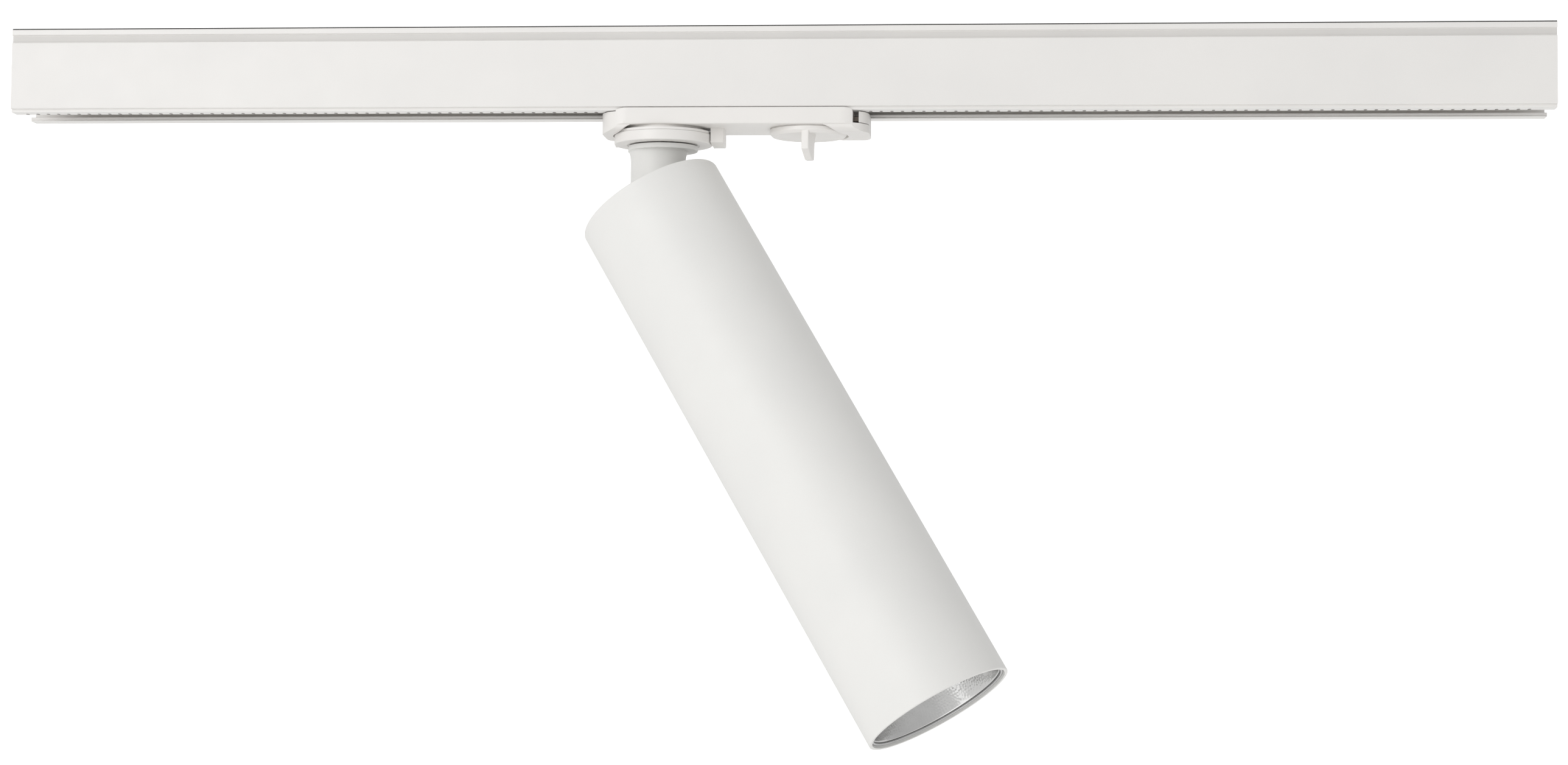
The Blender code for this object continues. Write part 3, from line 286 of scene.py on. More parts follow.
def across_track(obj):
    """Turns a prism so its outline lies in Y, Z and its length along X."""
    obj.data.transform(Matrix(((0, 0, 1, 0), (1, 0, 0, 0), (0, 1, 0, 0), (0, 0, 0, 1))))
    return obj


def along_y(name, outline):
    """Cutter with its outline in X, Z, reaching past both edges of the adapter."""
    obj = prism(name, [outline], -26.0, 26.0)
    obj.data.transform(Matrix.Rotation(math.pi / 2, 4, "X"))
    return obj


def box(name, x, y, z):
    """Box from (low, high) pairs."""
    work = bmesh.new()
    bmesh.ops.create_cube(work, size=1.0)
    bmesh.ops.scale(work, vec=[(b - a) * MM for a, b in (x, y, z)], verts=work.verts)
    bmesh.ops.translate(work, vec=[0.5 * (a + b) * MM for a, b in (x, y, z)], verts=work.verts)
    return from_bmesh(name, work)


def rod(name, radius, z0, z1, centre=(0.0, 0.0), steps=48, axis="Z"):
    """Cylinder along Z centred at (x, y), or along Y centred at (x, z)."""
    obj = lathe(name, [(0, z1), (radius, z1), (radius, z0), (0, z0)], steps=steps)
    if axis == "Y":
        obj.data.transform(Matrix.Rotation(-math.pi / 2, 4, "X"))
        obj.data.transform(Matrix.Translation((centre[0] * MM, 0, centre[1] * MM)))
    else:
        obj.data.transform(Matrix.Translation((centre[0] * MM, centre[1] * MM, 0)))
    return obj


def boolean(target, other, operation="DIFFERENCE"):
    """Combines other into target and removes it."""
    modifier = target.modifiers.new("b", "BOOLEAN")
    modifier.operation = operation
    modifier.object = other
    modifier.solver = "EXACT"
    mesh = evaluated_mesh(target)
    target.modifiers.remove(modifier)
    mesh.name = target.data.name
    target.data = mesh
    bpy.data.objects.remove(other, do_unlink=True)


def clean(obj, sharp_angle):
    """Merges doubles and sets smooth shading with sharp edges and weighted normals."""
    with edited(obj.data) as work:
        bmesh.ops.remove_doubles(work, verts=work.verts, dist=2e-6)
        bmesh.ops.dissolve_degenerate(work, edges=work.edges, dist=1e-7)
    smooth(obj, sharp_angle)
    modifier = obj.modifiers.new("normals", "WEIGHTED_NORMAL")
    modifier.keep_sharp = True
    modifier.weight = 60
    return obj


def put(obj, body, material, slot, *stands_for, extra=()):
    """Places a piece on its body, gives it its material and hides the CAD pieces it stands for;
    the slot argument is not used.
    """
    obj.data.transform(PLACES[body])
    obj.data.materials.clear()
    for entry in (material, *extra):
        obj.data.materials.append(entry)
    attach(obj, body)
    if stands_for:
        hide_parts(*stands_for)


# =============================================================================
# Material tools
# =============================================================================
def new_material(name):
    material = bpy.data.materials.new(name)
    material.use_nodes = True
    tree = material.node_tree
    return material, tree, tree.nodes["Principled BSDF"]


def node(tree, kind, **values):
    """Adds a node; each value goes to the input of that name, else to the property."""
    added = tree.nodes.new(kind)
    for key, value in values.items():
        if key in added.inputs:
            added.inputs[key].default_value = value
        else:
            setattr(added, key, value)
    return added


def coords(tree, scale=(1, 1, 1)):
    texture = node(tree, "ShaderNodeTexCoord")
    mapping = node(tree, "ShaderNodeMapping", Scale=scale)
    tree.links.new(texture.outputs["Object"], mapping.inputs["Vector"])
    return mapping.outputs["Vector"]


def noise(tree, vector, scale, detail=3.0, roughness=0.5):
    texture = node(tree, "ShaderNodeTexNoise", Scale=scale, Detail=detail, Roughness=roughness)
    tree.links.new(vector, texture.inputs["Vector"])
    return texture.outputs["Fac"]


def spread(tree, value, low, high, from_low=0.3, from_high=0.7):
    """Maps a value from one range to another."""
    mapped = node(tree, "ShaderNodeMapRange", **{
        "From Min": from_low, "From Max": from_high, "To Min": low, "To Max": high})
    tree.links.new(value, mapped.inputs["Value"])
    return mapped.outputs["Result"]


def tint(tree, value, low, high, from_low=0.3, from_high=0.7):
    """Blends between two colours by a value."""
    ramp = node(tree, "ShaderNodeValToRGB")
    for stop, position, colour in zip(ramp.color_ramp.elements, (from_low, from_high),
                                      (low, high)):
        stop.position = position
        stop.color = (*colour, 1)
    tree.links.new(value, ramp.inputs["Fac"])
    return ramp.outputs["Color"]


def bump(tree, height, depth, strength, under=None):
    """Bump of a depth in mm, laid over another bump if one is given."""
    added = node(tree, "ShaderNodeBump", Strength=strength, Distance=depth * MM)
    tree.links.new(height, added.inputs["Height"])
    if under is not None:
        tree.links.new(under, added.inputs["Normal"])
    return added.outputs["Normal"]


# =============================================================================
# Materials
# =============================================================================
def coated(name, colour, rough, grain_mm, depth, shade=0.012, coat=0.0):
    """Painted or moulded skin: fine grain, slow drift of tone and of gloss."""
    material, tree, bsdf = new_material(name)
    vector = coords(tree)
    warmth = (0.0, 0.0012, 0.004)      # taken from the light tone's red, green and blue
    dark = [c - shade for c in colour]
    light = [c + shade - less for c, less in zip(colour, warmth)]
    slow = noise(tree, vector, scale=28.0)
    fine = noise(tree, vector, scale=1000.0 / grain_mm, detail=2.0, roughness=0.6)
    mix = node(tree, "ShaderNodeMix", data_type="RGBA", blend_type="MULTIPLY")
    mix.inputs["Factor"].default_value = 0.25
    tree.links.new(tint(tree, slow, dark, light), mix.inputs["A"])
    speckle = tint(tree, fine, (0.94, 0.94, 0.94), (1, 1, 1), from_low=0.25, from_high=0.6)
    tree.links.new(speckle, mix.inputs["B"])
    tree.links.new(mix.outputs["Result"], bsdf.inputs["Base Color"])
    gloss = noise(tree, vector, scale=90.0, detail=4.0)
    tree.links.new(spread(tree, gloss, rough - 0.05, rough + 0.05), bsdf.inputs["Roughness"])
    bsdf.inputs["Coat Weight"].default_value = coat
    bsdf.inputs["Coat Roughness"].default_value = 0.3
    wave = noise(tree, vector, scale=260.0, detail=2.0)
    ripple = bump(tree, wave, depth=0.04, strength=0.15)
    grain = bump(tree, fine, depth=depth, strength=0.6, under=ripple)
    tree.links.new(grain, bsdf.inputs["Normal"])
    return material


def metal(name, colour, rough, streak=(1, 1, 1)):
    """Bare metal with fine lines; a small streak scale draws them out along that axis."""
    material, tree, bsdf = new_material(name)
    shade = 0.04
    lines = noise(tree, coords(tree, streak), scale=900.0, detail=4.0, roughness=0.65)
    slow = noise(tree, coords(tree), scale=60.0, detail=4.0)
    tone = tint(tree, slow, [c - shade for c in colour], [c + shade for c in colour])
    tree.links.new(tone, bsdf.inputs["Base Color"])
    bsdf.inputs["Metallic"].default_value = 1.0
    tree.links.new(spread(tree, lines, rough - 0.07, rough + 0.09), bsdf.inputs["Roughness"])
    tree.links.new(bump(tree, lines, depth=0.01, strength=0.5), bsdf.inputs["Normal"])
    return material


def rubber(name, colour):
    material, tree, bsdf = new_material(name)
    vector = coords(tree)
    fine = noise(tree, vector, scale=1500.0)
    slow = noise(tree, vector, scale=120.0)
    tone = tint(tree, slow, colour, [c * 1.5 for c in colour])
    tree.links.new(tone, bsdf.inputs["Base Color"])
    tree.links.new(spread(tree, fine, low=0.6, high=0.8), bsdf.inputs["Roughness"])
    tree.links.new(bump(tree, fine, depth=0.02, strength=0.5), bsdf.inputs["Normal"])
    return material


def reflector_metal(name):
    """Bright anodised aluminium; the hammered face itself is geometry."""
    material, tree, bsdf = new_material(name)
    vector = coords(tree)
    slow = noise(tree, vector, scale=90.0)
    fine = noise(tree, vector, scale=1800.0)
    tone = tint(tree, slow, (0.60, 0.598, 0.592), (0.67, 0.668, 0.662))
    tree.links.new(tone, bsdf.inputs["Base Color"])
    bsdf.inputs["Metallic"].default_value = 1.0
    tree.links.new(spread(tree, fine, low=0.13, high=0.21), bsdf.inputs["Roughness"])
    tree.links.new(bump(tree, fine, depth=0.01, strength=0.35), bsdf.inputs["Normal"])
    return material


def phosphor(name):
    """Yellow grains under a clear coat."""
    material, tree, bsdf = new_material(name)
    vector = coords(tree)
    cells = node(tree, "ShaderNodeTexVoronoi", Scale=1400.0)
    tree.links.new(vector, cells.inputs["Vector"])
    distance = cells.outputs["Distance"]
    tone = tint(tree, distance, (0.80, 0.60, 0.10), (0.90, 0.74, 0.22),
                from_low=0.1, from_high=0.8)
    tree.links.new(tone, bsdf.inputs["Base Color"])
    bsdf.inputs["Roughness"].default_value = 0.35
    bsdf.inputs["Coat Weight"].default_value = 0.6
    bsdf.inputs["Coat Roughness"].default_value = 0.08
    tree.links.new(bump(tree, distance, depth=0.02, strength=0.4), bsdf.inputs["Normal"])
    return material


def pale_floor(name, colour):
    material, tree, bsdf = new_material(name)
    slow = noise(tree, coords(tree), scale=2.0)
    tone = tint(tree, slow, colour, [c + 0.01 for c in colour])
    tree.links.new(tone, bsdf.inputs["Base Color"])
    bsdf.inputs["Roughness"].default_value = 0.7
    bsdf.inputs["Specular IOR Level"].default_value = 0.2
    bsdf.inputs["Emission Color"].default_value = (1.0, 1.0, 1.0, 1.0)
    # glows white to the camera, and far less on to the object
    path = node(tree, "ShaderNodeLightPath")
    glow = spread(tree, path.outputs["Is Camera Ray"], low=0.16, high=0.6,
                  from_low=0.0, from_high=1.0)
    tree.links.new(glow, bsdf.inputs["Emission Strength"])
    return material


TRACK_PAINT = coated("track_powder_coat", (0.80, 0.785, 0.765), rough=0.42, grain_mm=0.5,
                     depth=0.012)
ADAPTER_WHITE = coated("adapter_moulded_white", (0.82, 0.80, 0.775), rough=0.40, grain_mm=0.3,
                       depth=0.008, coat=0.05)
LAMP_PAINT = coated("lamp_powder_coat", (0.80, 0.795, 0.775), rough=0.50, grain_mm=0.4,
                    depth=0.014)
LINER = coated("liner_plastic", (0.62, 0.61, 0.59), rough=0.5, grain_mm=0.6, depth=0.02)
CORE_BLACK = coated("core_black_plastic", (0.022, 0.022, 0.023), rough=0.5, grain_mm=0.35,
                    depth=0.03, shade=0.006)
HOUSING = coated("housing_plastic", (0.74, 0.73, 0.70), rough=0.5, grain_mm=0.35, depth=0.02)
COPPER = metal("drawn_copper", (0.70, 0.37, 0.23), rough=0.28, streak=(0.05, 1, 1))
BRASS = metal("brass", (0.76, 0.58, 0.28), rough=0.28)
STEEL = metal("zinc_plated_steel", (0.60, 0.60, 0.60), rough=0.32)
DARK_STEEL = metal("oiled_steel", (0.22, 0.19, 0.165), rough=0.38)
ALUMINIUM = metal("bare_aluminium", (0.72, 0.725, 0.73), rough=0.36, streak=(1, 1, 0.08))
CABLE = rubber("cable_sheath", (0.016, 0.016, 0.017))
CERAMIC = coated("led_ceramic", (0.80, 0.79, 0.75), rough=0.3, grain_mm=0.5, depth=0.006)
PHOSPHOR = phosphor("led_phosphor")
SILVER = reflector_metal("reflector_silver")
# painted shade: the side grooves get a darker colour than the track, standing for the shade under
# the groove's overhang
GROOVE_PAINTED_SHADE = coated("side_groove_painted_shade", (0.66, 0.645, 0.625), rough=0.5, grain_mm=0.5,
                      depth=0.012)
# painted shade: a dark colour inside the punched dents stands for the shade deep in the pits
DENT_PAINTED_SHADE = coated("dent_painted_shade", (0.30, 0.285, 0.27), rough=0.5, grain_mm=0.4, depth=0.02)
EDGE_DARK = coated("rebate_shadow_grey", (0.085, 0.085, 0.08), rough=0.7, grain_mm=0.5,
                   depth=0.02)

# =============================================================================
# Track
# =============================================================================
LIP_STEP_Z = 1.15
CHANNEL_HALF, CHANNEL_TOP = 15.6, 26.0
HOLES_X, HOLE_R = (-200.0, 290.0), 2.4

# staking marks: a row of punched dents along the near lip
DENT_PITCH, DENT_X, DENT_Y = 4.385, -44.4, -11.3     # DENT_X is the place of one dent
# height from the bottom of the lip, size
DENT_RINGS = [(-0.6, 1.45), (-0.02, 1.12), (0.5, 0.8), (0.95, 0.55)]

LINER_IN, LINER_OUT, LINER_Z0, LINER_Z1 = 9.2, 15.3, 7.2, 25.6
SLOTS_Z, SLOT_HALF, SLOT_BACK = (11.4, 19.4), 1.9, 14.6


def track_section():
    """Outer wall and open channel as one loop, and the closed duct above as another."""
    # y, z, corner radius
    half = [
        (LIP_IN, LIP_BOT, 0.4), (LIP_OUT, LIP_BOT, 0.3), (LIP_OUT, LIP_STEP_Z, 0.08),
        (TRACK_HALF, LIP_STEP_Z, 0.55), (TRACK_HALF, 28.9, 0.2),
        (TRACK_HALF - SIDE_GROOVE, 29.15, 0.2), (TRACK_HALF - SIDE_GROOVE, 32.0, 0.2),
        (TRACK_HALF, 32.25, 0.2), (TRACK_HALF, TRACK_H - REBATE, 0.12),
        (TRACK_HALF - REBATE, TRACK_H - REBATE, 0.05), (TRACK_HALF - REBATE, TRACK_H, 0.1),
    ]
    inside = [
        (CHANNEL_HALF, CHANNEL_TOP, 0.4), (CHANNEL_HALF, LIP_TOP, 0.2),
        (LIP_IN, LIP_TOP, 0.25), (LIP_IN, 0.72, 0.08), (LIP_IN + 0.22, 0.58, 0.06),
        (LIP_IN + 0.22, 0.34, 0.06), (LIP_IN, 0.2, 0.08),
    ]
    duct = rounded_rect(-11.5, 11.5, 28.4, 32.6, 0.8, 4)
    duct.reverse()
    return [fillet(half + mirror(half) + mirror(inside) + inside, 3), duct]


def punches(name):
    """Tapered oval pegs, slightly uneven in size."""
    work = bmesh.new()
    rng = np.random.default_rng(5)
    first = DENT_X - DENT_PITCH * int((DENT_X - TRACK_X0 - 5.0) / DENT_PITCH)
    for i in range(int((TRACK_X1 - TRACK_X0 - 9.0) / DENT_PITCH)):
        cx = first + DENT_PITCH * i
        if cx > TRACK_X1 - 4:
            break
        size = 0.62 + 0.10 * rng.random()
        rings = []
        for rise, grow in DENT_RINGS:
            outline = [(cx + size * grow * math.cos(math.tau * k / 16),
                        DENT_Y + size * grow * 1.9 * math.sin(math.tau * k / 16))
                       for k in range(16)]
            rings.append([work.verts.new((x * MM, y * MM, (LIP_BOT + rise) * MM))
                          for x, y in outline])
        for low, high in zip(rings, rings[1:]):
            for k in range(16):
                j = (k + 1) % 16
                work.faces.new((low[k], low[j], high[j], high[k]))
        work.faces.new(list(reversed(rings[0])))
        work.faces.new(rings[-1])
    bmesh.ops.recalc_face_normals(work, faces=work.faces)
    return from_bmesh(name, work)


def build_track():
    track = prism("track", track_section(), TRACK_X0, TRACK_X1, low=0.12, high=0.12, segments=2)
    across_track(track)
    for x in HOLES_X:
        boolean(track, rod("hole", HOLE_R, 24.0, 37.0, (x, 0)))
    boolean(track, punches("punches"))
    put(clean(track, 24), "track", TRACK_PAINT, "track_paint", "track_extrusion",
        extra=(DENT_PAINTED_SHADE, EDGE_DARK, GROOVE_PAINTED_SHADE))
    for face in track.data.polygons:
        x, y, z = face.center / MM
        z += TRACK_H
        if (-14.5 < y < -9.45 and LIP_BOT + 0.06 < z < LIP_TOP - 0.2
                and TRACK_X0 + 1 < x < TRACK_X1 - 1):
            # painted shade in the punched dents
            face.material_index = 1     # dents
        elif abs(y) > TRACK_HALF - REBATE - 0.13 and z > TRACK_H - REBATE - 0.01:
            face.material_index = 2     # top rebates
        elif abs(abs(y) - (TRACK_HALF - SIDE_GROOVE)) < 0.06 and 29.3 < z < 31.8:
            # painted shade in the side grooves
            face.material_index = 3     # side grooves


def build_liners():
    """Plastic strips inside the channel, each with two slots open to the middle."""
    far = [(LINER_IN, LINER_Z0, 0.5), (LINER_OUT, LINER_Z0, 0.2), (LINER_OUT, LINER_Z1, 0.2),
           (LINER_IN, LINER_Z1, 0.5)]
    for z in reversed(SLOTS_Z):
        far += [(LINER_IN, z + SLOT_HALF, 0.3), (SLOT_BACK, z + SLOT_HALF, 0.1),
                (SLOT_BACK, z - SLOT_HALF, 0.1), (LINER_IN, z - SLOT_HALF, 0.3)]
    for label, points in zip(("near", "far"), both_sides(far)):
        liner = prism("liner_" + label, [fillet(points, 3)], TRACK_X0 + 2.5, TRACK_X1 - 2.5,
                      low=0.15, high=0.15, segments=2)
        across_track(liner)
        put(clean(liner, 30), "track", LINER, "liner_grey", "insulating_liner_" + label)


# =============================================================================
# Adapter
# =============================================================================
SEAT_R, SEAT_Z = 17.0, -8.15        # round seat above the swivel
END_Z, LAND_TOP = -9.0, -4.4        # the thick ends of the base
STOP_Z, STOP_X, STOP_HALF = -13.5, 25.9, 5.4
NIPPLE_R = 4.9
FIN_T = 3.2

# The rim at each end: x outward from where the corner rounding starts, z.
RIM_SLOPE = [
    (0.3, RIM_TOP + 0.6), (0.3, RIM_TOP), (1.6, 0.78), (3.0, 0.52), (4.2, 0.22), (5.1, -0.05),
    (5.1, PLATE_TOP), (40.0, PLATE_TOP), (40.0, RIM_TOP + 0.6),
]
# Underside of a thick end: x outward from its foot, z.
LAND_FALL = [
    (-3.4, LAND_TOP + 0.2), (-1.2, PLATE_BOT + 0.5), (0.0, PLATE_BOT),
    *eased((-0.8, PLATE_BOT + 0.05), (8.2, END_Z), 14)[2:], (8.2, END_Z),
]


def plate_outline(inset=0.0):
    return rounded_rect(PLATE_X0 + inset, PLATE_X1 - inset, -PLATE_HALF + inset,
                        PLATE_HALF - inset, PLATE_R - inset, 24)


def add_lands(base):
    """Thickens both ends downward, leaving room for the swivel ring and the dial."""
    # label, x of the foot, outward way, x and radius of the room, z added at the far end
    for label, foot, way, room, radius, lift in (
            ("left", -11.3, -1, 0.0, RING_R + 0.5, 0.0),
            ("right", 67.3, 1, DIAL_X, DIAL_R + 0.45, 0.9)):
        land = prism("land_" + label, [plate_outline()], END_Z - 0.6, LAND_TOP)
        cut = [(foot + way * x, z) for x, z in LAND_FALL]
        cut += [(foot + way * 60.0, END_Z + lift), (foot + way * 60.0, -20.0),
                (foot - way * 200.0, -20.0), (foot - way * 200.0, LAND_TOP + 0.2)]
        boolean(land, along_y("fall", cut[::-way]))
        boolean(land, rod("room", radius, -20.0, 0.0, (room, 0), 128))
        boolean(base, land, "UNION")


def round_long_edges(base):
    """Small round at the plate's lower edge, then a larger sweep under the thick ends."""
    edge = [math.radians(a) for a in range(15, 90, 15)]
    sweep = [math.radians(a) for a in range(8, 90, 8)]
    under = [(18.01, -5.25)]
    under += [(PLATE_HALF - 0.85 * (1 - math.cos(a)), -5.25 - 0.8 * math.sin(a)) for a in edge]
    under += [(17.1, PLATE_BOT)]
    under += [(11.4 + 5.7 * math.cos(a), PLATE_BOT - 2.97 * math.sin(a)) for a in sweep]
    under += [(11.4, -9.04), (11.4, -20.0), (30.0, -20.0), (30.0, -5.25)]
    for cut in both_sides(under[::-1]):
        boolean(base, across_track(prism("edge_round", [cut], -60.0, 120.0)))


def stop_block():
    """Block right of the swivel ring, hollowed to clear it and chamfered below."""
    hollow = arc(0, 0, RING_R + 0.5, -14.9, 14.9, 14)
    outline = fillet([(STOP_X, STOP_HALF, 0.7), *reversed(hollow), (STOP_X, -STOP_HALF, 0.7)], 5)
    stop = prism("stop_block", [outline], STOP_Z, -3.2, low=0.3, segments=3)
    chamfer = [(6.0, -11.9), (6.0, -14.0), (2.9, -14.0), (2.9, STOP_Z), (5.6, -11.9)]
    for cut in both_sides(chamfer):
        boolean(stop, across_track(prism("stop_chamfer", [cut], 10.0, 40.0)))
    return stop


def build_base():
    base = prism("adapter_base_shell", [plate_outline()], PLATE_BOT, RIM_TOP, high=0.18,
                 segments=3)
    boolean(base, box("lip_room", (-60, 120), (-LIP_OUT - 0.3, LIP_OUT + 0.3), (PLATE_TOP, 9)))
    for label, corner, way in (("left", PLATE_X0 + PLATE_R, -1),
                               ("right", PLATE_X1 - PLATE_R, 1)):
        cut = [(corner + way * x, z) for x, z in RIM_SLOPE[::-way]]
        boolean(base, along_y("rim_end_" + label, cut))
    add_lands(base)
    round_long_edges(base)
    boolean(base, rod("seat", SEAT_R, SEAT_Z, -3.0, steps=128), "UNION")
    # sealing face that closes the gap above the dial
    seal = rod("dial_seal", DIAL_R - 0.5, DIAL_TOP + 0.06, -4.0, (DIAL_X, 0), 128)
    boolean(base, seal, "UNION")
    # a collar round the seat closes most of the gap above the swivel ring
    collar = rod("seat_collar", RING_R - 0.3, RING_TOP + 0.06, -7.4, steps=128)
    boolean(collar, rod("collar_bore", SEAT_R - 0.4, -10, -7.0, steps=128))
    boolean(base, collar, "UNION")
    boolean(base, stop_block(), "UNION")
    boolean(base, rod("nipple_bore", NIPPLE_R + 0.4, -10, 2, steps=64))
    boolean(base, rod("hub_bore", 6.1, -10, 2, (DIAL_X, 0), 64))
    boolean(base, box("latch_recess", (80.0, 95.0), PAST_EDGES, (-5.55, 5)))
    boolean(base, box("latch_pocket", (69.6, 85.0), POCKET_Y, POCKET_Z))
    put(clean(base, 26), "adapter", ADAPTER_WHITE, "adapter_white", "adapter_base")


def build_latch():
    """Right-hand end of the plate, as a separate tab."""
    latch = prism("latch_tab", [plate_outline(0.02)], -5.25, PLATE_TOP, low=0.25, high=0.3,
                  segments=3)
    boolean(latch, box("latch_end", (82.45, 95.0), PAST_EDGES, (-9, 5)), "INTERSECT")
    boolean(latch, box("blade_slot", (80.0, 84.6), POCKET_Y, POCKET_Z))
    put(clean(latch, 26), "latch", ADAPTER_WHITE, "adapter_white", "release_latch")


def build_lever():
    """Dished dial with a hub above and a finger blade below."""
    # radius, z, corner radius
    profile = [
        (0, 2.1), (5.7, 2.1, 0.3), (5.7, DIAL_TOP, 0.3), (DIAL_R, DIAL_TOP, 0.4),
        (DIAL_R, -8.15, 0.5), (DIAL_R - 1.25, DIAL_BOT, 0.35), (DIAL_R - 1.95, DIAL_BOT, 0.3),
        (DIAL_R - 3.6, -8.95, 0.9), (0, -8.8),
    ]
    dial = lathe("lever_dial", fillet(profile, 5, closed=False), steps=160)
    # y from the blade's near edge, z, corner radius
    blade = [(0.0, -7.6), (0.0, -16.2, 0.5), (6.4, -20.1, 0.8), (10.1, -20.1, 1.0),
             (10.4, -14.0, 6.0), (13.4, -7.6)]
    fin = prism("fin", [fillet(blade, 8)], -FIN_T / 2, FIN_T / 2, low=0.5, high=0.5)
    across_track(fin)
    fin.data.transform(Matrix.Translation((-0.45 * MM, -15.9 * MM, 0))
                       @ Matrix.Rotation(math.radians(-10.0), 4, "Z"))
    boolean(dial, fin, "UNION")
    boolean(dial, rod("key_bore", 2.6, -4.0, 3.0))
    put(clean(dial, 26), "lever", ADAPTER_WHITE, "adapter_white", "lock_lever")


# =============================================================================
# Swivel
# =============================================================================
RING_SIDE, RING_BOT = -12.7, -12.85
GROOVE_Z = RING_TOP - 1.4           # floor of the grooves in the ring's top
FLANGE_R, FLANGE_TOP, FLANGE_BOT = 14.5, -13.15, -15.2
STEM_R, CABLE_BORE_R = 11.4, 3.4
SHOULDER, TONGUE_HALF, TONGUE_R = 9.7, 5.2, 9.0     # shoulder height is above the pivot
AXLE_R = 2.4


def build_ring():
    profile = [
        (5.3, GROOVE_Z), (11.6, GROOVE_Z), (11.6, RING_TOP, 0.1), (12.3, RING_TOP, 0.1),
        (12.3, GROOVE_Z), (17.8, GROOVE_Z), (17.8, RING_TOP, 0.1), (RING_R, RING_TOP, 0.3),
        (RING_R, RING_SIDE, 0.55), (15.2, RING_BOT, 0.3), (14.9, RING_BOT + 0.3, 0.1),
        (5.3, RING_BOT + 0.3),
    ]
    ring = lathe("swivel_disc", fillet(profile, 6), closed=True, steps=192)
    notch = box("index_notch", (12.8, 15.6), (-2.4, 2.4), (-14.0, -12.2))
    notch.data.transform(Matrix.Rotation(math.radians(-54.4), 4, "Z"))
    boolean(ring, notch)
    outline = fillet([(19.4, -0.9), (22.8, -0.9, 0.5), (22.8, 0.9, 0.5), (19.4, 0.9)], 4)
    rib = prism("stop_rib", [outline], -12.2, -9.4, low=0.2, high=0.2)
    rib.data.transform(Matrix.Rotation(math.radians(180), 4, "Z"))
    boolean(ring, rib, "UNION")
    put(clean(ring, 26), "swivel", ADAPTER_WHITE, "adapter_white", "swivel_ring")


def build_stem():
    """Flange on the swivel axis, offset shaft flaring into it, and the hinge tongue."""
    flange = [(0, FLANGE_TOP), (FLANGE_R, FLANGE_TOP, 0.2), (FLANGE_R, FLANGE_BOT, 0.5),
              (0, FLANGE_BOT)]
    stem = lathe("swivel_stem", fillet(flange, 5, closed=False), steps=160)

    shoulder_z = PIVOT_Z + SHOULDER
    profile = [(0, -14.4), (12.6, -14.4), (12.6, -15.4)]
    profile += [(STEM_R + 1.2 * (1 - math.sin(a)), -15.4 - 5.2 * (1 - math.cos(a)))
                for a in [math.radians(degrees) for degrees in range(6, 91, 6)]]
    profile += [(STEM_R, shoulder_z + 0.5), (STEM_R - 0.15, shoulder_z + 0.15),
                (STEM_R - 0.5, shoulder_z), (0, shoulder_z)]
    shaft = lathe("shaft", profile, steps=144)
    shaft.data.transform(Matrix.Translation((-STEM_OFFSET * MM, 0, 0)))
    boolean(stem, shaft, "UNION")

    outline = [(TONGUE_R, SHOULDER + 2), (-TONGUE_R, SHOULDER + 2)]
    outline += arc(0, 0, TONGUE_R, 180, 360, 40)
    tongue = prism("tongue", [outline], -TONGUE_HALF, TONGUE_HALF, low=0.5, high=0.5)
    tongue.data.transform(Matrix.Translation((-STEM_OFFSET * MM, 0, PIVOT_Z * MM))
                          @ Matrix.Rotation(math.pi / 2, 4, "X"))
    boolean(stem, tongue, "UNION")

    boolean(stem, rod("axle_bore", AXLE_R + 0.35, -20, 20, (-STEM_OFFSET, PIVOT_Z), axis="Y"))
    exit_z = shoulder_z - 5.2
    boolean(stem, rod("cable_bore", CABLE_BORE_R, exit_z, 0))
    boolean(stem, box("cable_exit", (0.0, 20.0), (-CABLE_BORE_R, CABLE_BORE_R),
                      (exit_z, shoulder_z + 0.3)))
    put(clean(stem, 26), "swivel", LAMP_PAINT, "lamp_paint", "stem")


# =============================================================================
# Head
# =============================================================================
CAP_TOP, CAP_BOT = RIM_Z - 0.3, RIM_Z - 1.7
CAP_SLOT_END, CAP_SLOT_R = 22.6, 12.0
CAP_SCREW_Y = 20.5
REFLECTOR_R0, REFLECTOR_R1, REFLECTOR_T = 9.0, 28.2, 0.7


def build_tube():
    # radius, z, corner radius; the plain points divide the long walls
    profile = [
        (TUBE_IN, RIM_Z, 0.25), (TUBE_R, RIM_Z, 0.45), (TUBE_R, -60.0), (TUBE_R, -120.0),
        (TUBE_R, -180.0), (TUBE_R, MOUTH_Z, 0.4), (TUBE_IN, MOUTH_Z, 0.25), (TUBE_IN, -120.0),
    ]
    tube = lathe("tube_shell", fillet(profile, 6), closed=True, steps=320)
    put(clean(tube, 30), "head", LAMP_PAINT, "lamp_paint", "lamp_tube")


def build_cap():
    """Disc closing the top of the tube, with a round-ended slot along X."""
    centre = CAP_SLOT_END - CAP_SLOT_R
    slot = arc(centre, 0, CAP_SLOT_R, -90, 90, 40) + arc(-centre, 0, CAP_SLOT_R, 90, 270, 40)
    slot.reverse()
    rim = arc(0, 0, TUBE_IN - 0.3, 0, 360 - 2, 179)
    cap = prism("cap_plate", [rim, slot], CAP_BOT, CAP_TOP, high=0.35, low=0.2, segments=3)
    for side in (-1, 1):
        boolean(cap, rod("cap_hole", 1.8, -20, 20, (0, side * CAP_SCREW_Y), 32))
    put(clean(cap, 26), "head", LAMP_PAINT, "lamp_paint", "top_cap")


def build_cap_screws():
    # radius, z, corner radius
    profile = [(0, CAP_TOP + 0.9), (2.7, CAP_TOP + 0.9, 0.7), (2.7, CAP_TOP + 0.05, 0.1),
               (1.45, CAP_TOP + 0.05), (1.45, -3.5), (0, -3.5)]
    for side, label in ((-1, "near"), (1, "far")):
        y = side * CAP_SCREW_Y
        screw = lathe("cap_bolt_" + label, fillet(profile, 5, closed=False), steps=48)
        screw.data.transform(Matrix.Translation((0, y * MM, 0)))
        boolean(screw, prism("hex", [arc(0, y, 1.05, 0, 300, 5)], CAP_TOP + 0.1, CAP_TOP + 2))
        put(clean(screw, 30), "head", STEEL, "steel", "cap_screw_" + label)


